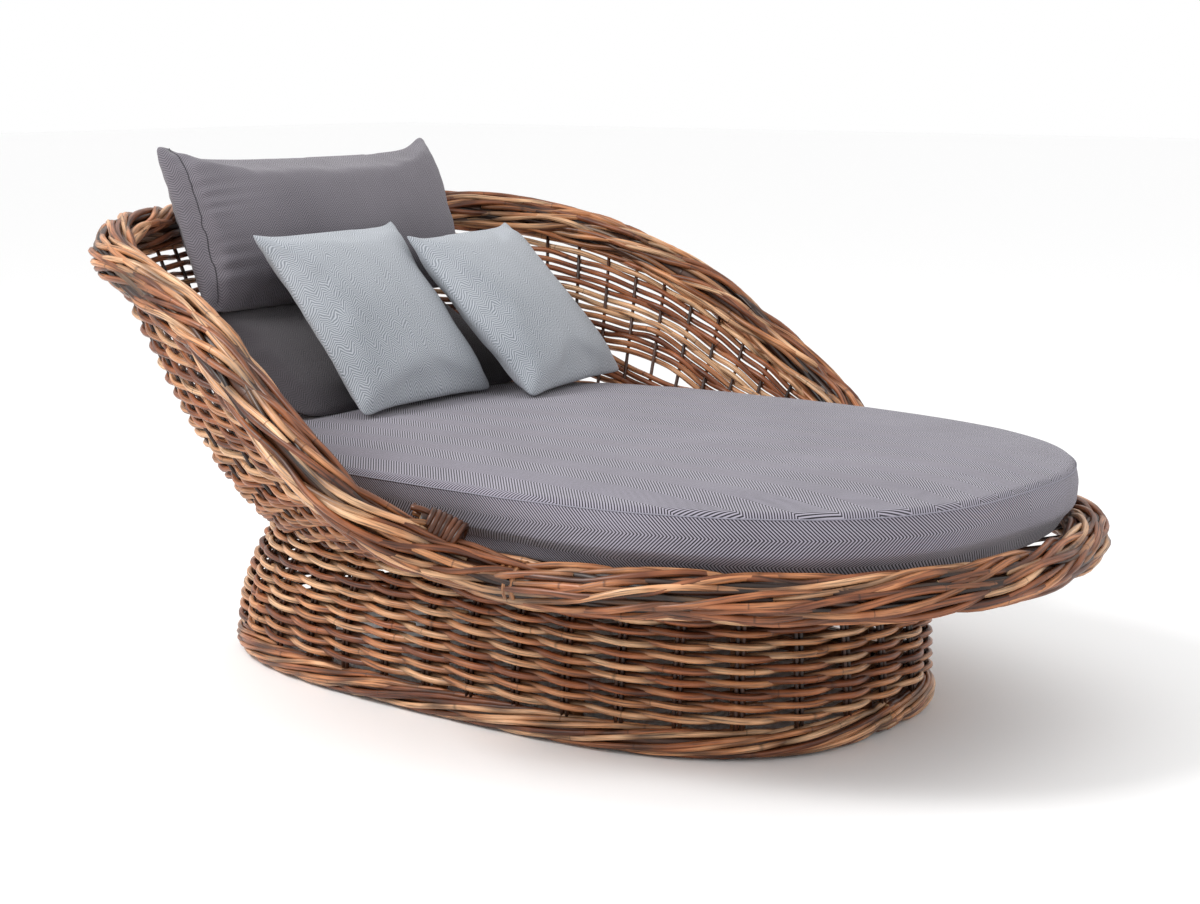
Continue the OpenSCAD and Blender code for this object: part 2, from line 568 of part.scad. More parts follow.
// A stuffed square cushion: crowned, its sides drawn in between pointed corners.
// It lies in its own X (width) and Z (height), with its thickness along Y.
cushion_cells = 10;
draw_in_share = 0.055;
fill_power = 0.62;
function grid_at(i) = sin(90 * (2 * i / cushion_cells - 1));
function plump(u) = pow(max(0, 1 - u * u), fill_power);
function cushion_at(w, h, t, i, j, side) =
    let (u = grid_at(i), v = grid_at(j))
    [w / 2 * u * (1 - draw_in_share * u * u * (1 - v * v)),
        side * t / 2 * pow(plump(u) * plump(v), 0.8),
        h / 2 * v * (1 - draw_in_share * v * v * (1 - u * u))];
module cushion(w, h, t) {
    c = cushion_cells;
    n = c + 1;
    front = [for (i = [0:c], j = [0:c]) cushion_at(w, h, t, i, j, -1)];
    back = [for (i = [1:c - 1], j = [1:c - 1]) cushion_at(w, h, t, i, j, 1)];
    function edge(i, j) = i == 0 || j == 0 || i == c || j == c;
    function back_index(i, j) = edge(i, j) ? i * n + j : n * n + (i - 1) * (c - 1) + j - 1;
    // Each cell is split from the side of its nearest corner, so that no face lies on its own back
    function from_corner(i, j) = (i < c / 2) == (j < c / 2);
    front_faces = [for (i = [0:c - 1], j = [0:c - 1])
        let (a = i * n + j, b = a + n, d = a + 1, e = b + 1)
        each from_corner(i, j) ? [[a, d, e], [a, e, b]] : [[a, d, b], [d, e, b]]];
    back_faces = [for (i = [0:c - 1], j = [0:c - 1])
        let (a = back_index(i, j), b = back_index(i + 1, j), d = back_index(i, j + 1),
            e = back_index(i + 1, j + 1))
        each from_corner(i, j) ? [[a, e, d], [a, b, e]] : [[a, b, d], [d, b, e]]];
    polyhedron(points = concat(front, back), faces = concat(front_faces, back_faces), convexity = 6);
}
// A cushion's back face leans on the plane through its foot, turned about the vertical
module leaning(foot, turn, lean, w, h, t) {
    translate(foot) rotate([0, 0, 90 + turn]) translate([0, -t / 2 / cos(lean), 0]) rotate([-lean, 0, 0])
        translate([0, 0, h / 2]) cushion(w, h, t);
}
mattress_top = seam_z + mattress_crown;
lower_pillow_lean = 60;
// The foot of the lower pillow, ahead of the hoop, to the left of the middle and over the mattress
lower_ahead = 369.4;
lower_left = -3.4;
lower_over = 6.2;
lower_foot = [head_x + lower_ahead, lower_left, mattress_top + lower_over];
// The foot of the upper pillow, behind that of the lower one and over its top edge
upper_behind = 212.5;
upper_left = 30;
upper_over = 2.7;
upper_foot = [lower_foot.x - upper_behind, upper_left,
    lower_foot.z + lower_pillow_h * cos(lower_pillow_lean) + upper_over];
// The feet of the scatter cushions, ahead of that of the lower pillow
left_ahead = 184;
left_left = 275;
right_ahead = 124.8;
right_left = -82.5;
scatter_under = 1.2;
left_foot = [lower_foot.x + left_ahead, left_left, mattress_top - scatter_under];
right_foot = [lower_foot.x + right_ahead, right_left, mattress_top - scatter_under];
module back_pillow_lower() {
    color("#6e6a70") leaning(lower_foot, 2, lower_pillow_lean, lower_pillow_w, lower_pillow_h,
        lower_pillow_t);
}
module back_pillow_upper() {
    color("#6e6a70") leaning(upper_foot, 0, 22, upper_pillow_w, upper_pillow_h, upper_pillow_t);
}
module scatter_cushion_left() {
    color("#8f9799") leaning(left_foot, 14, 42, scatter_w, scatter_w, scatter_t);
}
module scatter_cushion_right() {
    color("#8f9799") leaning(right_foot, 7, 37, scatter_w, scatter_w, scatter_t);
}

floor_glides();
bottom_ring();
posts();
seat_ring();
bearers();
deck_slats();
foot_border();
base_stakes();
base_weave_foot();
base_weave_left();
base_weave_head();
base_weave_right();
tray_stakes();
wall_stakes();
tray_weave();
wing_weave_left();
back_weave();
wing_weave_right();
rim_pole();
hoop_pole();
seat_rim();
back_hoop();
knot_binding_left();
knot_binding_right();
mattress();
back_pillow_lower();
back_pillow_upper();
scatter_cushion_left();
scatter_cushion_right();
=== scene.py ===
# %% [markdown]
# A woven rattan sun lounger, made in cells. The frame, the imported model, gives every size and place in
# metres, and this lesson dresses it: round canes instead of squared ones, and stuffed cushions with cloth
# on them. The foot end is +X, the head end is -X and the floor is z = 0.

# %% Load the frame
import math
import bpy
import bmesh
import numpy as np
from mathutils import Matrix, Vector


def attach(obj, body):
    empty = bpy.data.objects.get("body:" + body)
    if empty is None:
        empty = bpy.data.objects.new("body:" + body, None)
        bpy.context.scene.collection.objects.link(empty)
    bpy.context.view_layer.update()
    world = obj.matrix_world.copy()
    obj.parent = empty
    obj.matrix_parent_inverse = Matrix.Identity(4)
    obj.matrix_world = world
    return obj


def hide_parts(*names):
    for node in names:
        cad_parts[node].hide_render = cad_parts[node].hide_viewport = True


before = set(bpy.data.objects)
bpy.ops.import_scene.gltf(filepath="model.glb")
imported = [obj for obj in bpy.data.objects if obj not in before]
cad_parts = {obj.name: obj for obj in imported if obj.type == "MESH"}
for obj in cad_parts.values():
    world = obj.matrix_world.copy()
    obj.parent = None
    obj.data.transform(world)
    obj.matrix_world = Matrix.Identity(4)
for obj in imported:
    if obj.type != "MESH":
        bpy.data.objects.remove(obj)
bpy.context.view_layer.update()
rng = np.random.default_rng(11)
MM = 0.001
UP = np.array([0.0, 0.0, 1.0])

# %% [markdown]
# The photograph was taken from in front of the foot end, a little above the rim, with a long lens. The
# camera stands on the line that was fitted to the outline, and a small shift frames the piece as there.

# %% Camera at the photograph's angle
PHOTO_W = 1200
focal_px = 2183.4
centre_px = (93.2, 24.0)
azimuth = math.radians(36.97)
elevation = math.radians(10.6)
camera_distance = 3.9
target = Vector((0.214, 0, 0.4))
back = Vector((math.sin(azimuth) * math.cos(elevation), -math.cos(azimuth) * math.cos(elevation),
               math.sin(elevation)))
camera = bpy.data.objects.new("camera", bpy.data.cameras.new("camera"))
bpy.context.collection.objects.link(camera)
camera.location = target + back * camera_distance
camera.rotation_euler = back.to_track_quat("Z", "Y").to_euler()
camera.data.sensor_width = 36
camera.data.lens = focal_px / PHOTO_W * camera.data.sensor_width
camera.data.shift_x = -centre_px[0] / PHOTO_W
camera.data.shift_y = centre_px[1] / PHOTO_W
bpy.context.scene.camera = camera
print("camera at", tuple(round(c, 3) for c in camera.location))

# %% [markdown]
# Every cane follows two kinds of line: closed ovals, for the base, and one border line in space, along
# which the seat rim runs level and the hoop climbs round the head end. The same driving sizes as in the
# part's source are written here once, and everything else is worked out from them.

# %% Driving sizes
overall_l = 1.92
rim_w = 1.168
wing_w = 1.4
rim_z = 0.33
hoop_z = 0.811
base_l, base_w, base_back = 1.394, 0.784, 0.078
waist_l, waist_w, waist_back = 1.242, 0.804, 0.026
waist_z = rim_z - 0.058
foot_z = 0.055
base_power = 2.84
flare_power = 1.8
stations = 72
rim_roll_r, hoop_roll_r = 0.042, 0.043
foot_roll_t, foot_roll_h = 0.042, 0.052
stake_r = 3.9 * MM


# %% Lines in space
def cubic(a, b, c, d, t):
    """A smooth value at share t of the way from b to c, with a before them and d after them."""
    return (2 * b + (c - a) * t + (2 * a - 5 * b + 4 * c - d) * t ** 2
            + (3 * b - a - 3 * c + d) * t ** 3) / 2


def closed_curve(points, steps):
    """A smooth closed line through a few points."""
    p = np.array(points, float)
    t = np.linspace(0, 1, steps, endpoint=False)[:, None]
    return np.vstack([cubic(*np.roll(p, 1 - i, 0)[:4], t) for i in range(len(p))])


def even(points, count):
    """Places at even distances along a closed line."""
    loop = np.vstack([points, points[:1]])
    length = np.r_[0, np.cumsum(np.linalg.norm(np.diff(loop, axis=0), axis=1))]
    s = np.arange(count) * length[-1] / count
    return np.stack([np.interp(s, length, loop[:, k]) for k in range(3)], -1)


def oval(length, width, behind, z, power=base_power):
    """An oval between an ellipse and a rectangle, from its foot end towards +Y."""
    a = np.linspace(0, 2 * np.pi, 480, endpoint=False)
    x = np.sign(np.cos(a)) * np.abs(np.cos(a)) ** (2 / power) * length / 2 - behind
    y = np.sign(np.sin(a)) * np.abs(np.sin(a)) ** (2 / power) * width / 2
    return np.stack([x, y, np.full_like(a, z)], -1)


def smooth_at(table, t):
    """A smooth value between the rows of a closed table, at row numbers t."""
    t = np.asarray(t, float)
    i = np.floor(t).astype(int)
    return cubic(*(table[(i + k) % len(table)] for k in (-1, 0, 1, 2)), (t - i)[..., None])


def unit(v):
    return v / np.maximum(np.linalg.norm(v, axis=-1, keepdims=True), 1e-9)


foot_x = overall_l / 2 - rim_roll_r
head_x = hoop_roll_r - overall_l / 2
rise = hoop_z - rim_z
rim_shares = [(0.854, 0.567, 0), (0.557, 0.882, 0), (0.254, 1, 0.01)]
wing_shares = [(0.044, 1, 0.247), (-0.328, 0.946, 0.74), (-0.72, 0.764, 0.983)]
side = [(x * overall_l / 2, y * w / 2, rim_z + z * rise)
        for shares, w in ((rim_shares, rim_w), (wing_shares, wing_w)) for x, y, z in shares]
border_points = [(foot_x, 0, rim_z)] + side + [(head_x, 0, hoop_z)] + [(x, -y, z) for x, y, z in side[::-1]]
border_spots = even(closed_curve(border_points, 40), stations)
border_length = np.linalg.norm(np.roll(border_spots, -1, 0) - border_spots, axis=1).sum()
# The station where the rim meets the hoop on the left; on the right it is the same with a minus
knot = 12.5
print("border line", round(border_length, 3), "m round")

# %% [markdown]
# The wall is a bent sheet: from the waist each stake swings outwards and then up to the border. A
# quadratic curve from the waist through a belly point to the border gives each stake, and a smooth
# value between stakes gives every place on the sheet, which the weavers need. The belly swings out a
# few millimetres less than in the part's source, because the outline in the photograph is flatter.

# %% Surfaces of the base and the wall
foot_oval = even(oval(base_l, base_w, base_back, foot_z), stations)
waist_oval = even(oval(waist_l, waist_w, waist_back, waist_z), stations)
wall_foot = even(oval(waist_l - 0.019, waist_w - 0.019, waist_back, waist_z), stations)
run = unit(np.roll(wall_foot, -1, 0) - wall_foot) + unit(wall_foot - np.roll(wall_foot, 1, 0))
belly_at_ends, belly_at_sides, belly_rise = 0.22, 0.46, 0.1
out_share = (belly_at_ends + (belly_at_sides - belly_at_ends) * np.abs(run[:, 0]) / 2)[:, None]
belly_share = np.hstack([out_share, out_share, np.full_like(out_share, belly_rise)])
wall_belly = wall_foot + (border_spots - wall_foot) * belly_share


def base_at(t, v):
    """A place on the base at station t and height share v."""
    low, high = smooth_at(foot_oval, t), smooth_at(waist_oval, t)
    v = np.broadcast_to(v, np.shape(t))[..., None]
    place = low + (high - low) * np.clip(v, 0, 2) ** flare_power
    place[..., 2] = foot_z + (waist_z - foot_z) * v[..., 0]
    return place


def wall_at(t, v):
    """A place on the wall at station t and share v of the way from the waist to the border."""
    a, m, b = smooth_at(wall_foot, t), smooth_at(wall_belly, t), smooth_at(border_spots, t)
    v = np.broadcast_to(v, np.shape(t))[..., None]
    return a * (1 - v) ** 2 + m * 2 * v * (1 - v) + b * v ** 2


def outward(surface, t, v):
    """The direction that stands off a surface on its outside."""
    t = np.asarray(t, float)
    v = np.broadcast_to(v, np.shape(t))
    along = surface(t + 0.2, v) - surface(t - 0.2, v)
    up = surface(t, v + 0.02) - surface(t, v - 0.02)
    return unit(np.cross(along, up))


def wall_length(t):
    v = np.linspace(0, 1, 9)
    line = np.stack([wall_at(np.asarray(t, float), k) for k in v])
    return np.linalg.norm(np.diff(line, axis=0), axis=-1).sum(0)


print("wall", round(float(wall_length(np.array([stations / 2]))[0]), 3), "m long at the head end")

# %% [markdown]
# A cane is a curve with a round bevel. Hundreds of them in one curve object are quick to make, and the
# mesh that comes out lists one ring of points after another, so a length along each cane, a number that
# says which cane it is and how deep it lies among its neighbours can be stored for the material.

# %% A maker of canes
cane_sides = 6


def wobble(count, reach):
    """A gentle random sway along a cane of count points."""
    x = np.linspace(0, 1, count)
    waves = rng.uniform(2, 6, 3) * max(1, count / 60)
    return sum(np.sin(2 * np.pi * (w * x + rng.random())) for w in waves) * reach / 3


def from_end(count):
    """How many places each of count places is from the nearer end."""
    return np.minimum(np.arange(count), np.arange(count)[::-1])


def cane(places, radius, deep=0.0, tone=None):
    """One cane: its places, its radius at each, its depth among others and its own colour number."""
    n = len(places)
    radius = np.broadcast_to(radius, n) * rng.uniform(0.93, 1.07) * (1 + wobble(n, 0.05))
    return {"places": np.asarray(places, float), "radius": radius, "deep": np.broadcast_to(deep, n),
            "tone": rng.random() if tone is None else tone}


def in_scene(name, mesh):
    """A smooth-shaded piece made from a mesh."""
    mesh.polygons.foreach_set("use_smooth", np.ones(len(mesh.polygons), bool))
    piece = bpy.data.objects.new(name, mesh)
    bpy.context.collection.objects.link(piece)
    return piece


def bundle(name, canes):
    """A mesh object from many canes, with their length, tone and depth stored on it."""
    curve = bpy.data.curves.new(name, "CURVE")
    curve.dimensions = "3D"
    curve.bevel_depth = 1
    curve.bevel_resolution = cane_sides // 2 - 2
    for c in canes:
        spline = curve.splines.new("POLY")
        spline.points.add(len(c["places"]) - 1)
        spline.points.foreach_set("co", np.hstack([c["places"], np.ones((len(c["places"]), 1))]).ravel())
        spline.points.foreach_set("radius", c["radius"])
    drawn = bpy.data.objects.new(name + ".curve", curve)
    bpy.context.collection.objects.link(drawn)
    mesh = bpy.data.meshes.new_from_object(drawn.evaluated_get(bpy.context.evaluated_depsgraph_get()))
    bpy.data.objects.remove(drawn)
    bpy.data.curves.remove(curve)
    mesh.name = name
    store_canes(mesh, canes)
    close_ends(mesh)
    return in_scene(name, mesh)


def store_canes(mesh, canes):
    """Writes the canes' lengths, tones and depths to the mesh, ring after ring."""
    steps = [np.linalg.norm(np.diff(c["places"], axis=0), axis=1) for c in canes]
    along = np.concatenate([np.r_[0, np.cumsum(step)] for step in steps]).repeat(cane_sides)
    tone = np.concatenate([np.full(len(c["places"]), c["tone"]) for c in canes]).repeat(cane_sides)
    # The depth, which the material turns into painted shade
    deep = np.concatenate([c["deep"] for c in canes]).repeat(cane_sides)
    for key, values in (("tone", tone), ("deep", deep)):
        mesh.attributes.new(key, "FLOAT", "POINT").data.foreach_set("value", values)
    corner = np.zeros(len(mesh.loops), int)
    mesh.loops.foreach_get("vertex_index", corner)
    around = (corner % cane_sides).reshape(-1, 4)
    seam = (around.max(1) == cane_sides - 1) & (around.min(1) == 0)
    around = np.where(seam[:, None] & (around == 0), cane_sides, around).ravel() / cane_sides
    layer = mesh.uv_layers[0] if mesh.uv_layers else mesh.uv_layers.new(name="UVMap")
    layer.data.foreach_set("uv", np.stack([along[corner], around], -1).ravel())


def close_ends(mesh):
    """Closes the open ends of the tubes with one face each."""
    bm = bmesh.new()
    bm.from_mesh(mesh)
    open_edges = [e for e in bm.edges if e.is_boundary]
    bmesh.ops.holes_fill(bm, edges=open_edges, sides=0)
    bmesh.ops.recalc_face_normals(bm, faces=bm.faces)
    bm.to_mesh(mesh)
    bm.free()


def lengths_of(first, last, shortest, longest):
    """Cuts a run into random lengths, as canes are only so long."""
    cuts = [first]
    while last - cuts[-1] > longest:
        cuts.append(cuts[-1] + rng.uniform(shortest, longest))
    return list(zip(cuts, cuts[1:] + [last]))


# %% [markdown]
# Stakes first. The base has them in pairs, two canes side by side, and the wall has single ones at the
# same stations, which lean out with the sheet. Their tops go into the rolls.

# %% Stakes
def base_stakes():
    v = np.linspace(-0.03, 1.02, 12)
    canes = []
    for k in range(0, stations, 2):
        t = np.full_like(v, k)
        sideways = unit(base_at(t + 0.2, v) - base_at(t - 0.2, v))
        for way in (-1, 1):
            shift = sideways * way * (stake_r + 0.9 * MM)
            sway = outward(base_at, t, v) * wobble(len(v), 0.8 * MM)[:, None]
            # Painted shade: the stakes' depth darkens them, as they lie behind the weavers
            canes.append(cane(base_at(t, v) + shift + sway, stake_r, 0.35))
    return bundle("base_stake_canes", canes)


def wall_stakes(name, first, last):
    v = np.linspace(0.0, 0.97, 18)
    canes = []
    for k in range(first, last + 1):
        t = np.full_like(v, k)
        sway = outward(wall_at, t, v) * wobble(len(v), 1 * MM)[:, None]
        # Painted shade: the stakes' depth darkens them, as they lie behind the weavers
        canes.append(cane(wall_at(t, v) + sway, stake_r, 0.3))
    return bundle(name, canes)


first_wall = math.ceil(knot)
base_stake_canes = base_stakes()
wall_stake_canes = wall_stakes("wall_stake_canes", first_wall, stations - first_wall)
tray_stake_canes = wall_stakes("tray_stake_canes", 1 - first_wall, first_wall - 1)
print("stakes", len(base_stake_canes.data.vertices) + len(wall_stake_canes.data.vertices), "points")

# %% [markdown]
# The base is twined: each row is two canes that swap places between one pair of stakes and the next,
# so that on the outside every stroke crosses a pair and slants a little. A sine for the way in and out
# and a shifted one for up and down draw that twist.

# %% Weavers of the base
base_rows = 10
base_cane_r = 5.9 * MM
# The shortest and the longest cane of a twined row, and how far its ends run on, all in strokes
fewest_strokes, most_strokes, run_on = 12, 22, 0.4


def twined_row(surface, first, last, v, period, reach, slant, radius, shade=0.0):
    """Two canes that twine along a row of a surface, in random lengths."""
    canes = []
    for strand in (0, 1):
        for a, b in lengths_of(first, last, fewest_strokes * period, most_strokes * period):
            t = np.arange(a - run_on * period, b + run_on * period, period / 8)
            n = len(t)
            turn = np.pi * (t / period + strand)
            tuck = np.minimum(1, from_end(n) / 4)
            off = (np.cos(turn) * reach + wobble(n, 0.7 * MM)) * tuck - (1 - tuck) * reach * 0.7
            drop = -np.sin(turn) * slant + wobble(n, 1.1 * MM)
            # Painted shade: darker where a strand passes behind the stakes, plus the row's own shade
            inside = np.clip(0.5 - np.cos(turn), 0, 1) * 0.6
            place = surface(t, v) + outward(surface, t, np.full(n, v)) * off[:, None] + UP * drop[:, None]
            canes.append(cane(place, radius, np.clip(inside + shade, 0, 1)))
    return canes


base_canes = []
for row in range(base_rows):
    share = 0.02 + 0.955 * (row + 0.5) / base_rows
    start = rng.uniform(0, stations)
    base_canes += twined_row(base_at, start, start + stations, share, 2, stake_r + base_cane_r, 2.6 * MM,
                             base_cane_r)
base_weave = bundle("base_weave_canes", base_canes)
print("base weave", len(base_canes), "canes,", len(base_weave.data.polygons), "faces")

# %% [markdown]
# The raised wall is open. On the far wing bands of two or three canes lie side by side and pass before
# and behind the stakes together, with gaps between the bands and two wide openings where the rows part.
# The near wing has single canes at even distances. One function draws both: it knows each cane's place
# in its band, and spreads a band out where the single canes start. Near the knots the wall is low, so a
# band keeps one cane there and the others start where there is room for them.

# %% Weavers of the wall and the tray
wall_cane_r = 5.9 * MM
open_bands = [0.05, 0.112, 0.174, 0.236, 0.298, 0.36, 0.422, 0.484, 0.546, 0.608]
close_bands = [0.668, 0.728, 0.787, 0.846, 0.904, 0.96]
wall_bands = open_bands + close_bands
# Each cane's place in its band, and how long the wall has to be there for it
band_order = [(0, 0.12), (1, 0.24), (-1, 0.34)]
far_gap = {"station": 22.9, "spread": 1.4, "share": 0.698, "open": 0.05, "edge": 0.05, "fade": 0.12}
single_from = 37.5
# The upper rows keep the distance from the border that they have on a wall of this length
full_wall = 0.6
# The shortest and the longest cane on the wall, in stations
wall_lengths = (14, 24)


def opened(t, v):
    """Rows part round the wide openings of the far wing."""
    near = np.exp(-((t - far_gap["station"]) / far_gap["spread"]) ** 2)
    above = v - far_gap["share"]
    side_of = np.tanh(above / far_gap["edge"]) * np.exp(-(above / far_gap["fade"]) ** 2)
    return v + near * side_of * far_gap["open"]


def band(first, last, v, phase, order, own_pitch):
    """Canes that pass the stakes side by side, each where the wall has room for it."""
    canes = []
    sample = np.arange(first, last + 0.01, 0.25)
    for place_in_band, needed in order:
        room = needed + 0.08 * (phase % 2) * (place_in_band == 0) * (v < 0.6) + rng.uniform(0, 0.02)
        fits = sample[wall_length(sample) > room]
        if len(fits) < 8:
            continue
        for a, b in lengths_of(fits[0] - 0.4, fits[-1] + 0.4, *wall_lengths):
            t = np.arange(a - 0.5, b + 0.5, 1 / 6)
            n = len(t)
            tall = wall_length(t)
            low = opened(t, v) * (1 - v * v) + (1 - (1 - opened(t, v)) * full_wall / tall) * v * v
            single = np.clip(t - single_from + 0.5, 0, 1)
            apart = 2.02 * wall_cane_r * (1 - single) + own_pitch * tall * single
            share = low + (place_in_band * apart + wobble(n, 0.9 * MM)) / tall
            own_phase = phase + place_in_band * (t > single_from)
            before = np.cos(np.pi * (t + own_phase))
            off = before * (stake_r + wall_cane_r * (0.8 - 0.35 * single)) + wobble(n, 1.2 * MM)
            ends = np.minimum(1, from_end(n) / 3)
            off = off * ends + (1 - ends) * -0.5 * wall_cane_r
            places = wall_at(t, share) + outward(wall_at, t, share) * off[:, None]
            # A little painted shade through the depth, which changes as the cane passes the stakes
            canes.append(cane(places, wall_cane_r, 0.05 + 0.06 * before))
    return canes


wall_canes = []
for number, share in enumerate(wall_bands):
    order = band_order[:2] if share in open_bands else band_order
    own_pitch = np.gradient(wall_bands)[number] / len(order)
    wall_canes += band(first_wall - 0.3, stations - first_wall + 0.3, share, number, order, own_pitch)
wall_weave = bundle("wall_weave_canes", wall_canes)
tray_canes = []
for share in (0.1, 0.26, 0.42, 0.58, 0.72):
    # The tray lies under the rim, and its 0.25 adds painted shade
    tray_canes += twined_row(wall_at, -first_wall + 0.5, first_wall - 0.5, share, 1, stake_r + 4.4 * MM,
                             3.6 * MM, 4.6 * MM, 0.25)
tray_weave = bundle("tray_weave_canes", tray_canes)
print("wall weave", len(wall_canes), "canes,", len(wall_weave.data.polygons), "faces")


# %% [markdown]
# The fat rolls are bundles of thin canes that run nearly along the roll and turn slowly round it. An
# outer layer sways and dives under its neighbours, an inner one turns the other way and shows through
# the gaps, and a plain heart closes the view. Painted shade darkens the inner layer, the heart and
# each outer cane where it dives or its end sinks in. The rim and the hoop run past each other at the
# knots, where their canes stop one after another, so neither ends in a flat cut.

# %% Rolls of canes
roll_step = 22 * MM
cane_overlap = 6
fewest_places = 8


def frame_on(centre):
    """Directions to the side and up for each place of a centre line."""
    along = unit(np.gradient(centre, axis=0))
    sideways = unit(np.cross(along, UP))
    return sideways, np.cross(sideways, along)


def on_roll(centre, angle, wide, high):
    """Places round a centre line at an angle, wide and high off it."""
    sideways, upwards = frame_on(centre)
    return centre + sideways * (np.cos(angle) * wide)[:, None] + upwards * (np.sin(angle) * high)[:, None]


def drift(s, shortest, longest):
    """The phase along s of a wave with a length and a start by chance."""
    return 2 * np.pi * (s / rng.uniform(shortest, longest) + rng.random())


def roll_layer(line, count, wide, high, turns, radius, sway, dive, deep, lengths, stray, ragged=0):
    """One layer of canes round a line; with ragged ends each starts and stops at its own step."""
    canes = []
    for k in range(count):
        total = len(line) - int(rng.uniform(0, ragged + 0.5))
        opening = int(rng.uniform(0, ragged + 0.5))
        start = opening - int(rng.uniform(0, lengths[0]))
        while start < total - 4:
            n = int(rng.uniform(*lengths))
            i = np.arange(max(start, opening), min(start + n, total))
            start += n - cane_overlap
            if len(i) < fewest_places:
                continue
            s = i * roll_step
            swing = sway * 2 * np.pi / count * np.sin(drift(s, 0.3, 0.6))
            own = (s - s[0]) * turns * rng.uniform(-stray, stray)
            angle = 2 * np.pi * (k / count + s * turns + own) + swing
            under = (0.5 - 0.5 * np.cos(drift(s, 0.2, 0.38))) ** 2.5
            tail = np.clip(1 - from_end(len(i)) / 5, 0, 1)
            if not ragged:
                tail = tail * (i > 2) * (i < total - 3)
            sink = dive * under + radius * 1.3 * tail
            places = on_roll(line[i], angle, wide - radius - sink, high - radius - sink)
            # Painted shade: darker where the cane dives under others and where its ends sink in
            depth = np.clip(deep + under * 0.6 + tail * 0.45, 0, 1)
            canes.append(cane(places, radius * (1 - 0.3 * tail), depth))
    return canes


def heart(line, radius):
    """The plain middle of a roll, as one thick cane, darkened with painted shade."""
    return cane(line, radius, 0.7, 0.2)


outer_layer = dict(turns=0.6, radius=6 * MM, sway=0.95, dive=9 * MM, deep=0.0, lengths=(24, 50),
                   stray=0.4, ragged=9)
# The inner layer's depth paints it dark with shade
inner_layer = dict(turns=-0.5, radius=6 * MM, sway=0.5, dive=2 * MM, deep=0.8, lengths=(50, 90),
                   stray=0.35, ragged=9)
foot_layer = dict(turns=0.7, radius=5.2 * MM, sway=0.15, dive=2 * MM, deep=0.0, lengths=(40, 70),
                  stray=0.06)
inner_count = 15
knot_lap = 1.5


def border_roll(name, first, last, outer_count, outer_r, inner_r, heart_r):
    """A round roll along the border, from one station to another."""
    count = int((last - first) * border_length / stations / roll_step)
    line = smooth_at(border_spots, np.linspace(first, last, count))
    canes = roll_layer(line, outer_count, outer_r, outer_r, **outer_layer)
    canes += roll_layer(line, inner_count, inner_r, inner_r, **inner_layer)
    canes.append(heart(line, heart_r))
    return bundle(name, canes)


rim_roll = border_roll("seat_rim_canes", -knot - knot_lap, knot + knot_lap, 21, rim_roll_r, 0.034, 0.027)
hoop_roll = border_roll("back_hoop_canes", knot - knot_lap, stations - knot + knot_lap, 22, hoop_roll_r,
                        0.035, 0.026)
foot_centre = oval(base_l, base_w, base_back, foot_z - foot_roll_h / 2)
foot_line = even(foot_centre, int(border_length / roll_step))
foot_line = np.vstack([foot_line, foot_line[:2]])
foot_canes = roll_layer(foot_line, 12, foot_roll_t / 2, foot_roll_h / 2, **foot_layer)
foot_canes.append(heart(foot_line, 0.0135))
foot_roll = bundle("foot_border_canes", foot_canes)
print("rolls", sum(len(roll.data.polygons) for roll in (rim_roll, hoop_roll, foot_roll)), "faces")

# %% [markdown]
# Where the rim meets the hoop, a thin cane is wound tight round the joint, and near it a bound stub with
# cut ends lies on the inner top of the roll. A helix round a centre line is a natural curve for a
# winding, and its ends are tucked down. The stub's ends spread, sink and stray by chance, because on
# the real one they are a tangle.

# %% Knots
sunk_r, sunk_turns = rim_roll_r - 17 * MM, 2.5
stub_from, stub_to = 1.4, 2.9
stub_r, stub_turns, stub_cane_r = 19 * MM, 6.5, 5.2 * MM
stub_inward, stub_above, stub_arch = 12 * MM, 35 * MM, 6 * MM
stub_ends = 11
stub_places = 16
core_places = 12


def wound(centre, around, turns, radius, per_turn=20):
    """A cane wound round a short line, with its ends tucked in."""
    count = int(turns * per_turn)
    share = np.linspace(0, 1, count)
    line = np.stack([np.interp(share, np.linspace(0, 1, len(centre)), centre[:, k]) for k in range(3)], -1)
    tuck = np.clip(1 - from_end(count) / 3, 0, 1) * radius * 1.6
    reach = around + radius - tuck
    return cane(on_roll(line, share * turns * 2 * np.pi, reach, reach), radius, 0.1)


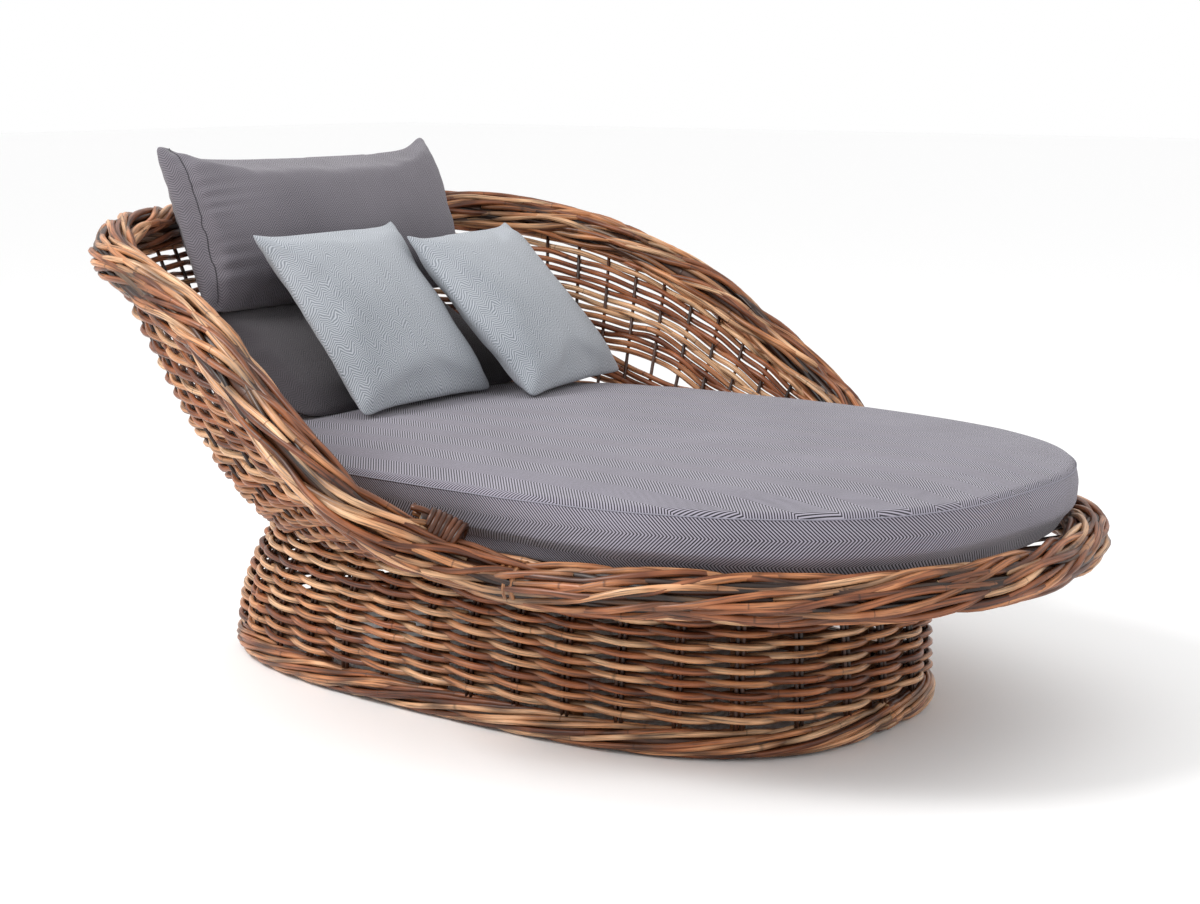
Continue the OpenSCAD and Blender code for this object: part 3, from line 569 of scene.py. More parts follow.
def knot_piece(name, station, way):
    """A few turns sunk in the roll, and a bound stub with cut ends that lies on its inner top."""
    centre = smooth_at(border_spots, np.linspace(station - way * 0.2, station + way * 0.25, 12))
    canes = [wound(centre, sunk_r, sunk_turns, 4.5 * MM)]
    reach = np.linspace(station + way * stub_from, station + way * stub_to, stub_places)
    stub = smooth_at(border_spots, reach)
    sideways, above = frame_on(stub)
    inward = sideways * -np.sign((sideways[:, 1:2] * stub[:, 1:2]))
    share = np.linspace(0, 1, stub_places)
    arch = stub_arch * np.sin(np.pi * share)
    stub = stub + inward * stub_inward + above * (stub_above + arch)[:, None]
    rounded = np.sqrt(np.clip(1 - (1 - share[:core_places] * 4).clip(0, 1) ** 2, 0.04, 1))
    # The stub's core and its canes get a little painted shade through their depth
    canes.append(cane(stub[:core_places], stub_r * rounded, 0.5, 0.1))
    canes.append(wound(stub[1:10], stub_r, stub_turns, stub_cane_r))
    for k in range(stub_ends):
        angle = 2 * np.pi * k / stub_ends + rng.uniform(-0.2, 0.2)
        spread = 0.013 + 0.018 * share ** 2 * rng.uniform(0.6, 1.5)
        fall = share ** 2 * rng.uniform(0.006, 0.036)
        stray = np.sin(share * rng.uniform(6, 12) + rng.uniform(0, 6)) * 0.005 * share
        last = int(rng.integers(core_places, stub_places + 1))
        aside = np.cos(angle) * (spread + stray)
        raised = np.sin(angle) * (spread + stray) - fall
        lay = sideways * aside[:, None] + above * raised[:, None]
        canes.append(cane((stub + lay)[3:last], stub_cane_r, 0.15))
    return bundle(name, canes)


knot_left = knot_piece("knot_left_canes", knot, 1)
knot_right = knot_piece("knot_right_canes", -knot, -1)
print("knots at", np.round(smooth_at(border_spots, [knot, -knot]), 3).tolist())

# %% [markdown]
# The cushions are cut flat and filled. Two grids that share their edge are the cut cloth; Cloth with a
# pressure inside blows them up, which draws in the sides between the corners and puckers the seams as
# on the real ones. A cap on how far a point moves keeps each in the space it has among the others.

# %% Sewing and filling
corner_cut = 0.02
swell_power = 0.55
sheets_apart = 3


def from_bmesh(name, bm):
    """A smooth-shaded piece made from a bmesh, which is freed."""
    mesh = bpy.data.meshes.new(name)
    bm.to_mesh(mesh)
    bm.free()
    return in_scene(name, mesh)


def sewn_blank(name, width, height, thick, cell, pinch):
    """Two sheets sewn together along their edges, bulged a little, with the flat cloth's own UV."""
    bm = bmesh.new()
    columns, rows = round(width / cell), round(height / cell)
    for facing in (-1, 1):
        turned = Matrix.Rotation(-facing * math.pi / 2, 4, "X")
        bmesh.ops.create_grid(bm, x_segments=columns, y_segments=rows, size=1, matrix=turned)
    side_of = {vert: -1 if face.normal.y < 0 else 1 for face in bm.faces for vert in face.verts}
    layer = bm.loops.layers.uv.new("UVMap")
    for face in bm.faces:
        for loop in face.loops:
            place = loop.vert.co
            aside = sheets_apart * side_of[loop.vert]
            loop[layer].uv = (place.x * width / 2 + aside, place.z * height / 2)
    ends, top, bottom, ear = pinch
    for vert, facing in side_of.items():
        u, v = vert.co.x, vert.co.z
        swell = (max(0, 1 - u * u) * max(0, 1 - v * v)) ** swell_power
        drawn = (top if v > 0 else bottom) * v * v * (1 - abs(u) ** ear)
        drawn_end = ends * u * u * (1 - abs(v) ** ear)
        rounded = 1 - corner_cut * 2 / (width + height) * abs(u * v) ** 24
        vert.co = (width / 2 * u * (1 - drawn_end) * rounded, facing * thick / 2 * swell,
                   height / 2 * v * (1 - drawn) * rounded)
    bmesh.ops.remove_doubles(bm, verts=bm.verts, dist=0.0005)
    bmesh.ops.recalc_face_normals(bm, faces=bm.faces)
    return from_bmesh(name, bm)


def places_of(mesh):
    places = np.zeros(len(mesh.vertices) * 3)
    mesh.vertices.foreach_get("co", places)
    return places.reshape(-1, 3)


def put_places(mesh, places):
    mesh.vertices.foreach_set("co", places.ravel())
    mesh.update()


def evened(mesh, moved, rounds):
    """Evens out how far neighbouring points moved, which takes away the smallest buckles."""
    ends = np.zeros(len(mesh.edges) * 2, int)
    mesh.edges.foreach_get("vertices", ends)
    first, second = ends.reshape(-1, 2).T
    count = np.bincount(ends, minlength=len(moved))[:, None]
    for _ in range(rounds):
        near = np.zeros_like(moved)
        np.add.at(near, first, moved[second])
        np.add.at(near, second, moved[first])
        moved = (moved + near / count) / 2
    return moved


filling_frames = 20


def filled(piece, pressure, cap, stiffness=12, rounds=0):
    """Blows a piece up with Cloth and keeps each point within a cap of where it began."""
    start = places_of(piece.data)
    cloth = piece.modifiers.new("Cloth", "CLOTH")
    made = cloth.settings
    made.quality = 6
    made.mass = 0.3
    made.tension_stiffness = made.compression_stiffness = stiffness
    made.shear_stiffness = stiffness / 2
    made.bending_stiffness = 0.6
    made.use_pressure = True
    made.uniform_pressure_force = pressure
    made.effector_weights.gravity = 0
    cloth.collision_settings.use_collision = False
    for number in range(1, filling_frames + 1):
        bpy.context.scene.frame_set(number)
    ready = piece.evaluated_get(bpy.context.evaluated_depsgraph_get())
    moved = places_of(ready.data) - start
    piece.modifiers.remove(cloth)
    bpy.context.scene.frame_set(1)
    moved = evened(piece.data, moved, rounds)
    far = np.linalg.norm(moved, axis=1, keepdims=True)
    print(piece.name, "moved up to", round(float(far.max()) * 1000, 1), "mm, kept to", cap * 1000)
    return start + moved * np.minimum(1, cap / np.maximum(far, 1e-9))


def subdivided(piece):
    """One step of subdivision, kept as a live modifier without a driver."""
    finer = piece.modifiers.new("Subdivision", "SUBSURF")
    finer.levels = finer.render_levels = 1


def leaning(foot, turn, lean, height, thick):
    """The place of a cushion whose back face leans back from the vertical through its foot."""
    turned = Matrix.Rotation(math.radians(90 + turn), 4, "Z")
    pushed = Matrix.Translation((0, -thick / 2 / math.cos(math.radians(lean)), 0))
    leant = Matrix.Rotation(math.radians(-lean), 4, "X")
    return Matrix.Translation(foot) @ turned @ pushed @ leant @ Matrix.Translation((0, 0, height / 2))


# %% [markdown]
# Two long pillows lean on the wall, one above the other, and two square scatter cushions lean on them.
# Each is filled as above and then gets what so coarse a cloth leaves out: gathers that run in from its
# seams, broad dents, and on the upper pillow a seam across one end. Moving the points by a few waves is
# quicker and easier to steer than a finer simulation, and each cushion is then laid in its place.

# %% Pillows and scatter cushions
long_pillow = dict(slot="pillow_fabric", edge=0.7, full=0.72)
scatter = dict(size=(0.45, 0.45, 0.122), slot="scatter_fabric", cap=0.02, edge=0.55, cell=0.0105, full=0.8)
cushions = {
    "back_pillow_lower_cloth": dict(
        long_pillow, node="back_pillow_lower", size=(0.7, 0.35, 0.105), foot=(-0.5476, -0.0034, 0.4846),
        turn=2, lean=60, cap=0.02, pinch=(-0.02, -0.2, -0.13, 5), cell=0.0115),
    "back_pillow_upper_cloth": dict(
        long_pillow, node="back_pillow_upper", size=(0.77, 0.355, 0.17), foot=(-0.7581, 0.012, 0.6573),
        turn=0, lean=22, cap=0.026, pinch=(0.0, 0.14, -0.14, 3.5), cell=0.0085),
    "scatter_left_cloth": dict(
        scatter, node="scatter_cushion_left", foot=(-0.3636, 0.275, 0.4772), turn=14, lean=42,
        pinch=(0.035, 0.075, 0.0, 8)),
    "scatter_right_cloth": dict(
        scatter, node="scatter_cushion_right", foot=(-0.4228, -0.0825, 0.4772), turn=7, lean=37,
        pinch=(0.035, 0.085, 0.0, 8)),
}
pressure = 4
gather_pitch, gather_depth, gather_reach = 34 * MM, 2.2 * MM, 50 * MM
slump_depth = 5 * MM
seam_start = 12 * MM
gusset = {"in": 52 * MM, "wide": 9 * MM, "deep": 6 * MM, "pitch": 26 * MM, "fold": 4.8 * MM, "reach": 55 * MM}


def gathered(places, width, height, depth):
    """Small folds that run in from the seam and die out."""
    x, z = places[:, 0], places[:, 2]
    from_side = (1 - np.abs(x / (width / 2))) * width / 2
    from_top = (1 - np.abs(z / (height / 2))) * height / 2
    phase = rng.uniform(0, 6, 4)
    across = np.sin(z * 2 * np.pi / gather_pitch + 2 * np.sin(z * 21 + phase[0]) + phase[1])
    along = np.sin(x * 2 * np.pi / gather_pitch + 2 * np.sin(x * 19 + phase[2]) + phase[3])
    fold = (across * np.exp(-(from_side / gather_reach) ** 2)
            + along * np.exp(-(from_top / gather_reach) ** 2) * 0.7)
    return fold * np.clip(np.minimum(from_side, from_top) / seam_start, 0, 1) * depth


def slumped(places, width, height):
    """Broad soft dents, as filling never lies even."""
    x, z = places[:, 0], places[:, 2]
    dents = np.zeros(len(places))
    for _ in range(7):
        where = rng.uniform(-0.35, 0.35, 2) * (width, height)
        spread = rng.uniform(0.25, 0.45) * height
        dents += rng.uniform(-1, 1) * np.exp(-((x - where[0]) ** 2 + (z - where[1]) ** 2) / spread ** 2)
    return dents * slump_depth


def gusseted(places, width):
    """A seam across the cloth near one end, with small gathers that run away from it."""
    z = places[:, 2]
    past = places[:, 0] + width / 2 - gusset["in"]
    groove = -gusset["deep"] * np.exp(-(past / gusset["wide"]) ** 2)
    swing = np.sin(z * 2 * np.pi / gusset["pitch"] + 2.4 * np.sin(z * 23)) * (0.6 + 0.4 * np.sin(z * 51))
    fading = np.clip(past / seam_start, 0, 1) * np.exp(-past.clip(0) / gusset["reach"])
    return groove + gusset["fold"] * swing * fading


def cushion(name, size, foot, turn, lean, node, slot, cap, edge, pinch, cell, full):
    """A filled cushion in its place, with its gathers and dents."""
    width, height, thick = size
    piece = sewn_blank(name, width, height, thick * full, cell, pinch)
    places = filled(piece, pressure, cap, rounds=4)
    facing = np.sign(places[:, 1])
    places[:, 1] += facing * (gathered(places, width, height, gather_depth * edge)
                              + slumped(places, width, height))
    if node == "back_pillow_upper":
        places[:, 1] += facing * gusseted(places, width)
    places[:, 1] *= thick / (places[:, 1].max() - places[:, 1].min())
    put_places(piece.data, places)
    piece.data.transform(leaning(foot, turn, lean, height, thick))
    subdivided(piece)
    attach(piece, "root")
    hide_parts(node)
    return piece


cushion_pieces = {name: cushion(name, **facts) for name, facts in cushions.items()}
for name, piece in cushion_pieces.items():
    print(name, len(piece.data.polygons), "faces")

# %% [markdown]
# The mattress is a deep oval pad with a border band and a crowned top, sewn together at a fine cord. A
# cube cut into a grid has no poles, and its rows are laid on the ovals of the side and its two flat
# faces on the top and the bottom. The same filling bulges it, and the cord follows its seam.

# %% Mattress
mattress_foot = foot_x - rim_roll_r + 0.016
waist_head = -waist_l / 2 - waist_back
mattress_head = waist_head + (head_x - waist_head) * 0.226
mattress_l, mattress_w = mattress_foot - mattress_head, rim_w - 0.058
mattress_x = (mattress_foot + mattress_head) / 2
mattress_power = 2.52
mattress_z = 0.3464
seam_z = mattress_z + 0.106
crown = 0.026
side_tuck = 0.042
side_levels = [mattress_z, rim_z + rim_roll_r, seam_z, seam_z + crown]
# Row by row from the bottom edge: the inset at the head and at the foot, and the level among side_levels
side_shares = [(1.52, 0.82, 0), (1.1, 0.64, 0.24), (1, 0.3, 1.04), (0.4, -0.06, 1.25), (0.1, -0.12, 1.68),
               (0, 0, 2), (0.19, 0.19, 2.35), (1.43, 1.43, 2.66), (5.24, 5.24, 2.94)]
seam_row = 5
below_seam, above_seam = 22, 38
mattress_cells = below_seam + above_seam


def mattress_profile():
    """Insets at the head and the foot and heights, row by row from the bottom edge to the top."""
    head, foot, level = np.array(side_shares).T
    height = np.interp(level, range(4), side_levels)
    length = np.r_[0, np.cumsum(np.hypot(np.diff(foot * side_tuck), np.diff(height)))]
    lower = np.linspace(0, length[seam_row], below_seam + 1)
    upper = np.linspace(length[seam_row], length[-1], above_seam + 1)[1:]
    places = np.r_[lower, upper]
    return [np.interp(places, length, row) for row in (head * side_tuck, foot * side_tuck, height)]


def side_ring(inset, z):
    length, width = mattress_l - 2 * inset, mattress_w - 2 * inset
    return even(oval(length, width, -mattress_x, z, mattress_power), 480)


def mattress_rings():
    """The ovals of the side, each drawn in by its own inset at the head and at the foot."""
    head, foot, height = mattress_profile()
    rings = np.stack([side_ring(inset, z) for inset, z in zip(head, height)])
    fuller = np.stack([side_ring(inset, z) for inset, z in zip(foot, height)])
    towards_foot = np.clip((rings[..., :1] - mattress_x) / mattress_l / 0.24, 0, 1)
    return rings + (fuller - rings) * towards_foot ** 2 * (3 - 2 * towards_foot)


def way_round(x, y):
    """How far round a square a place lies, from +X towards +Y, and how far out from its middle."""
    out = max(abs(x), abs(y), 1e-6)
    if abs(x) >= abs(y):
        return (y / out / 8 if x > 0 else 0.5 - y / out / 8) % 1, out
    return (0.25 - x / out / 8 if y > 0 else 0.75 + x / out / 8) % 1, out


def mattress_blank(name):
    """A cube's grid laid on the rings and on the two flat faces, with the flat cloth's own UV."""
    rings = mattress_rings()
    outline = np.linalg.norm(np.diff(rings[below_seam], axis=0), axis=1).sum()
    bm = bmesh.new()
    bmesh.ops.create_cube(bm, size=2)
    bmesh.ops.subdivide_edges(bm, edges=bm.edges, cuts=mattress_cells - 1, use_grid_fill=True)
    seam = bm.verts.layers.float.new("seam")
    layer = bm.loops.layers.uv.new("UVMap")
    spots = {}
    for vert in bm.verts:
        row = round((vert.co.z + 1) / 2 * mattress_cells)
        share, out = way_round(vert.co.x, vert.co.y)
        if 0 < row < mattress_cells:
            out = 1
        place = smooth_at(rings[row], share * rings.shape[1])
        centre = np.array([mattress_x, 0, place[2] + 0.004 * (row > 0) * (1 - out * out)])
        spots[vert] = (row, share, centre + (place - centre) * np.array([out, out, 0]))
        vert[seam] = 1 if row == below_seam else 0
    for face in bm.faces:
        rows = [spots[v][0] for v in face.verts]
        flat = max(rows) > below_seam or max(rows) == 0
        wraps = max(spots[v][1] for v in face.verts) > 0.9
        for loop in face.loops:
            row, share, place = spots[loop.vert]
            round_share = share + (1 if wraps and share < 0.1 else 0)
            loop[layer].uv = place[:2] if flat else (round_share * outline, place[2] + 3)
    for vert, (_, _, place) in spots.items():
        vert.co = place
    bmesh.ops.recalc_face_normals(bm, faces=bm.faces)
    return from_bmesh(name, bm)


mattress_cloth = mattress_blank("mattress_cloth")
places = filled(mattress_cloth, 2.5, 0.006, stiffness=20)
on_seam = np.zeros(len(places))
mattress_cloth.data.attributes["seam"].data.foreach_get("value", on_seam)
put_places(mattress_cloth.data, places)
seam_places = places[on_seam > 0.5]
order = np.argsort(np.arctan2(seam_places[:, 1], seam_places[:, 0] - mattress_x))
seam_line = seam_places[order]
subdivided(mattress_cloth)
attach(mattress_cloth, "root")
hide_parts("mattress")
print("mattress", len(mattress_cloth.data.polygons), "faces, seam", round(float(seam_line[:, 2].mean()), 4))

# %% [markdown]
# A sewn edge shows as a fine raised line. The mattress has one all round its seam, and the upper pillow
# has one in the groove near its end. Both are drawn as very thin canes through the points of the filled
# cloth, because the cloth's own grid is too coarse for a thread.

# %% Seams
outwards = unit(seam_line - np.array([mattress_x, 0, seam_z]))
welt_line = seam_line + outwards * 0.2 * MM
welt_line = np.vstack([welt_line, welt_line[:2]])
welt_r = np.full(len(welt_line), 1.1 * MM)
mattress_welt = bundle("mattress_welt", [{"places": welt_line, "radius": welt_r,
                                          "deep": np.zeros(len(welt_line)), "tone": 0.5}])
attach(mattress_welt, "root")
stitches = 34
seam_share = 0.44
nearest = 4
upper_pillow = cushions["back_pillow_upper_cloth"]


def pillow_seam():
    """The stitched line in the groove across the front of the upper pillow."""
    places = places_of(cushion_pieces["back_pillow_upper_cloth"].data)
    width, height, thick = upper_pillow["size"]
    laid = leaning(upper_pillow["foot"], upper_pillow["turn"], upper_pillow["lean"], height, thick)
    flat = np.array([list(laid.inverted() @ Vector(place)) for place in places])
    aside = flat[:, 0] + width / 2 - gusset["in"]
    rows = []
    for z in np.linspace(-seam_share, seam_share, stitches) * height:
        distance = np.hypot(aside, flat[:, 2] - z) + (flat[:, 1] > 0) * 1.0
        pick = np.argsort(distance)[:nearest]
        share = 1 / (distance[pick] + 0.5 * MM)
        rows.append((places[pick] * share[:, None]).sum(0) / share.sum())
    return np.array(rows)


lean = math.radians(upper_pillow["lean"])
towards = np.array([math.cos(lean), 0, math.sin(lean)])
seam_cord = bundle("pillow_seam", [cane(pillow_seam() + towards * 0.6 * MM, 0.9 * MM, 0.0, 0.5)])
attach(seam_cord, "root")
print("seams", len(mattress_welt.data.polygons) + len(seam_cord.data.polygons), "faces")

# %% [markdown]
# Now the finishes. Peeled rattan is a warm brown with long fine fibres, darker rings where the leaves
# grew, and a soft gloss from its oil. Canes differ from one another, and painted shade makes the
# crevices dark. All of that is drawn from the length along each cane, its own number and its depth.

# %% Colours and nodes
def linear(colour):
    """The light values of a colour that is written in sRGB."""
    parts = [int(colour[i:i + 2], 16) / 255 for i in (1, 3, 5)]
    return [c / 12.92 if c <= 0.04045 else ((c + 0.055) / 1.055) ** 2.4 for c in parts] + [1]


def add(tree, kind, settings=(), **inputs):
    """Adds a node with its settings, and links or sets its inputs by name or by number."""
    made = tree.nodes.new("ShaderNode" + kind)
    for key, value in dict(settings).items():
        setattr(made, key, value)
    for key, value in inputs.items():
        socket = made.inputs[int(key[1:])] if key[1:].isdigit() else made.inputs[key.replace("_", " ")]
        if isinstance(value, bpy.types.NodeSocket):
            tree.links.new(value, socket)
        else:
            socket.default_value = value
    return made


def finish_named(name, roughness, **settings):
    """A new finish with a few plain values on its shader."""
    made = bpy.data.materials.new(name)
    made.use_nodes = True
    shader = made.node_tree.nodes["Principled BSDF"]
    shader.inputs["Roughness"].default_value = roughness
    for key, value in settings.items():
        shader.inputs[key.replace("_", " ")].default_value = value
    return made, made.node_tree, shader


def sums(tree, operation, a, b=0.0, c=0.0):
    return add(tree, "Math", {"operation": operation}, _0=a, _1=b, _2=c).outputs[0]


def blended(tree, share, first, second, how="MIX"):
    """Two colours mixed by a share."""
    made = add(tree, "Mix", {"data_type": "RGBA", "blend_type": how}, _0=share, _6=first, _7=second)
    return made.outputs[2]


def banded(tree, value, stops):
    """A colour ramp over a value."""
    made = add(tree, "ValToRGB", (), Fac=value)
    ramp = made.color_ramp
    while len(ramp.elements) < len(stops):
        ramp.elements.new(0.5)
    for element, (place, colour) in zip(ramp.elements, stops):
        element.position = place
        element.color = linear(colour)
    return made.outputs[0]


# %% Rattan
fibre_mm = 1.6
leaf_ring_pitch = 0.16


def rattan(name, tones, streak_ring_and_shade, roughness=0.38):
    """Peeled rattan: streaks along the cane, leaf rings, each cane's own tone, and painted shade by depth."""
    made, tree, shader = finish_named(name, roughness, Specular_IOR_Level=0.45)
    uv = add(tree, "UVMap", {"uv_map": "UVMap"}).outputs[0]
    tone = add(tree, "Attribute", {"attribute_name": "tone"}).outputs["Fac"]
    deep = add(tree, "Attribute", {"attribute_name": "deep"}).outputs["Fac"]
    parted = add(tree, "SeparateXYZ", (), Vector=uv)
    along = sums(tree, "ADD", parted.outputs[0], sums(tree, "MULTIPLY", tone, 37.0))
    round_mm = sums(tree, "MULTIPLY", parted.outputs[1], 0.035)
    fibre = add(tree, "CombineXYZ", (), X=sums(tree, "MULTIPLY", along, 0.04), Y=round_mm, Z=tone)
    streaks = add(tree, "TexNoise", {"noise_dimensions": "3D"}, Vector=fibre.outputs[0],
                  Scale=1000 / fibre_mm / 2, Detail=3.0, Roughness=0.6).outputs[0]
    broad = add(tree, "TexNoise", {"noise_dimensions": "1D"}, W=along, Scale=9.0, Detail=2.0).outputs[0]
    shifted = sums(tree, "ADD", along, sums(tree, "MULTIPLY", broad, 0.12))
    ring = sums(tree, "PINGPONG", shifted, leaf_ring_pitch)
    ring_dark = sums(tree, "SUBTRACT", 1.0, sums(tree, "MULTIPLY", ring, 300.0), 0.0)
    ring_dark.node.use_clamp = True
    mixed = sums(tree, "ADD", sums(tree, "MULTIPLY", tone, 0.55), sums(tree, "MULTIPLY", broad, 0.45))
    colour = banded(tree, mixed, tones)
    stained = add(tree, "MapRange", (), Value=streaks, _1=0.42, _2=0.68, _3=0.0, _4=0.85).outputs[0]
    colour = blended(tree, stained, colour, linear(streak_ring_and_shade), "MULTIPLY")
    colour = blended(tree, sums(tree, "MULTIPLY", ring_dark, 0.6), colour, linear(streak_ring_and_shade))
    # Painted shade: the deeper a cane lies among others, the more it takes the dark colour
    colour = blended(tree, sums(tree, "POWER", deep, 0.8), colour, linear(streak_ring_and_shade))
    tree.links.new(colour, shader.inputs["Base Color"])
    rough = add(tree, "MapRange", (), Value=streaks, _3=roughness - 0.1, _4=roughness + 0.16).outputs[0]
    tree.links.new(rough, shader.inputs["Roughness"])
    height = sums(tree, "ADD", streaks, sums(tree, "MULTIPLY", ring_dark, 1.2))
    bump = add(tree, "Bump", (), Height=height, Strength=0.5, Distance=0.0006)
    tree.links.new(bump.outputs[0], shader.inputs["Normal"])
    return made


# Peeled and oiled cane: honey brown with a soft gloss, no two the same
cane_tones = [(0.2, "#63321A"), (0.42, "#A3613C"), (0.58, "#C98A5D"), (0.8, "#E6B88D")]
cane_finish = rattan("rattan_oiled_cane", cane_tones, "#1E0F08")
# Cane at the edge of the rolls: the same, a little paler
roll_tones = [(0.2, "#63321A"), (0.42, "#A5633C"), (0.58, "#CC8C5E"), (0.8, "#E8BA90")]
roll_finish = rattan("rattan_rolled_cane", roll_tones, "#1E0F08")
# Stakes carry the bark and stay dark
stake_tones = [(0.15, "#2E170C"), (0.5, "#4A2817"), (0.85, "#6B3D24")]
stake_finish = rattan("rattan_bark_stake", stake_tones, "#150B06")
# Binding cane is stained almost to coffee, and a little glossier
binding_tones = [(0.15, "#42200E"), (0.5, "#7A4424"), (0.85, "#BD8353")]
binding_finish = rattan("rattan_stained_binding", binding_tones, "#150B06", 0.35)


def cut_pith():
    """The cut end of a cane: pale pith with dark pores."""
    made, tree, shader = finish_named("rattan_cut_pith", 0.7)
    place = add(tree, "TexCoord").outputs["Object"]
    pores = add(tree, "TexVoronoi", (), Vector=place, Scale=1100.0).outputs[0]
    colour = banded(tree, pores, [(0.1, "#6B4A30"), (0.5, "#B58F66"), (0.9, "#CDAE86")])
    tree.links.new(colour, shader.inputs["Base Color"])
    bump = add(tree, "Bump", (), Height=pores, Strength=0.4, Distance=0.0004)
    tree.links.new(bump.outputs[0], shader.inputs["Normal"])
    return made


pith_finish = cut_pith()
rattans = (cane_finish, roll_finish, stake_finish, binding_finish, pith_finish)
print("rattan:", ", ".join(made.name for made in rattans))


def dress(piece, finish, *nodes, slot):
    """Puts a finish on a bundle of canes and pith on its cut ends, and hides the frame's parts that it stands
    for.
    """
    piece.data.materials.append(finish)
    piece.data.materials.append(pith_finish)
    for face in piece.data.polygons:
        face.material_index = 1 if len(face.vertices) > 4 else 0
    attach(piece, "root")
    if nodes:
        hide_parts(*nodes)


dress(base_stake_canes, stake_finish, "base_stakes", slot="rattan_stake")
dress(wall_stake_canes, stake_finish, "wall_stakes", slot="rattan_stake")
dress(tray_stake_canes, stake_finish, "tray_stakes", slot="rattan_stake")
dress(base_weave, cane_finish, "base_weave_foot", "base_weave_left", "base_weave_head", "base_weave_right",
      slot="rattan_cane")
dress(tray_weave, cane_finish, "tray_weave", slot="rattan_cane")
dress(wall_weave, cane_finish, "wing_weave_left", "back_weave", "wing_weave_right", slot="rattan_cane")
dress(rim_roll, roll_finish, "seat_rim", slot="rattan_roll")
dress(hoop_roll, roll_finish, "back_hoop", slot="rattan_roll")
dress(foot_roll, roll_finish, "foot_border", slot="rattan_roll")
dress(knot_left, binding_finish, "knot_binding_left", slot="rattan_binding")
dress(knot_right, binding_finish, "knot_binding_right", slot="rattan_binding")

# %% [markdown]
# The fabrics are solution-dyed acrylic for outdoors. The mattress has a bold herringbone, the back
# pillows a fine zigzag weave of the same yarn, and the scatter cushions a paler yarn in a goose-eye
# twill. Each pattern is drawn from the flat cloth's own millimetres, so it bends with the folds.


# %% Fabrics
thread_pitch = 1.6 * MM


def stripes(tree, uv, across, pitch, column):
    """Stripes that lean one way in one column and the other way in the next."""
    parted = add(tree, "SeparateXYZ", (), Vector=uv)
    turned = sums(tree, "PINGPONG", parted.outputs[1 - across], column)
    phase = sums(tree, "MULTIPLY", sums(tree, "ADD", parted.outputs[across], turned), 2 * math.pi / pitch)
    return sums(tree, "MULTIPLY_ADD", sums(tree, "SINE", phase), 0.5, 0.5)


def zigzags(tree, uv, pitch, column, stray):
    """Small zigzags whose threads stray; where they stray far, they close into eyes."""
    drawn = add(tree, "TexNoise", (), Vector=uv, Scale=34.0, Detail=1.0).outputs[1]
    moved = add(tree, "VectorMath", {"operation": "MULTIPLY_ADD"}, _0=drawn, _1=[stray * 4] * 3, _2=uv)
    return stripes(tree, moved.outputs[0], 1, pitch, column)


def threads(tree, uv, pitch):
    """A plain weave: one thread over the next both ways."""
    parted = add(tree, "SeparateXYZ", (), Vector=uv)
    turns = 2 * math.pi / pitch
    warp = sums(tree, "SINE", sums(tree, "MULTIPLY", parted.outputs[0], turns))
    weft = sums(tree, "SINE", sums(tree, "MULTIPLY", parted.outputs[1], turns))
    return sums(tree, "MULTIPLY_ADD", sums(tree, "MULTIPLY", warp, weft), 0.5, 0.5)


def fabric(name, dark, light, strength, pattern, *sizes):
    """Woven cloth: a pattern of a dark and a light yarn, its threads, and a little wear."""
    made, tree, shader = finish_named(name, 0.92, Sheen_Weight=0.25, Sheen_Roughness=0.5,
                                      Specular_IOR_Level=0.2)
    uv = add(tree, "UVMap", {"uv_map": "UVMap"}).outputs[0]
    motif = pattern(tree, uv, *sizes)
    weave = threads(tree, uv, thread_pitch)
    yarn = add(tree, "TexNoise", (), Vector=uv, Scale=420.0, Detail=3.0).outputs[0]
    worn = add(tree, "TexNoise", (), Vector=uv, Scale=5.0, Detail=3.0).outputs[0]
    share = sums(tree, "MULTIPLY_ADD", motif, strength, 0.5 - strength / 2)
    share = sums(tree, "ADD", share, sums(tree, "MULTIPLY_ADD", yarn, 0.5, -0.25))
    share = sums(tree, "ADD", share, sums(tree, "MULTIPLY_ADD", worn, 0.5, -0.25))
    colour = banded(tree, share, [(0.0, dark), (1.0, light)])
    tree.links.new(colour, shader.inputs["Base Color"])
    height = sums(tree, "ADD", sums(tree, "MULTIPLY", motif, 0.5), weave)
    height = sums(tree, "ADD", height, sums(tree, "MULTIPLY", yarn, 0.6))
    bump = add(tree, "Bump", (), Height=height, Strength=0.5, Distance=0.0008)
    tree.links.new(bump.outputs[0], shader.inputs["Normal"])
    return made


# Mattress cover: grey-mauve acrylic in a bold herringbone
mattress_finish = fabric("acrylic_herringbone", "#1D1B21", "#A6A1AE", 1.6, stripes, 0, 6 * MM, 45 * MM)
# Back pillows: the same yarn in a zigzag so fine that it looks almost plain from a few steps away
fine_zigzag = (0.7, zigzags, 5.5 * MM, 14 * MM, 1.5 * MM)
pillow_finish = fabric("acrylic_fine_zigzag", "#4A474D", "#8B868E", *fine_zigzag)
# Lower back pillow: the same weave in darker colours, painted shade for the shadow it lies in among the
# cushions
shaded_lower_pillow_finish = fabric("acrylic_fine_zigzag_painted_shade", "#2B282C", "#5B565B", *fine_zigzag)
# Scatter cushions: a paler yarn in a goose-eye twill
scatter_finish = fabric("acrylic_goose_eye", "#6C737A", "#C6CAD1", 0.75, zigzags, 6.2 * MM, 16 * MM, 3.6 * MM)
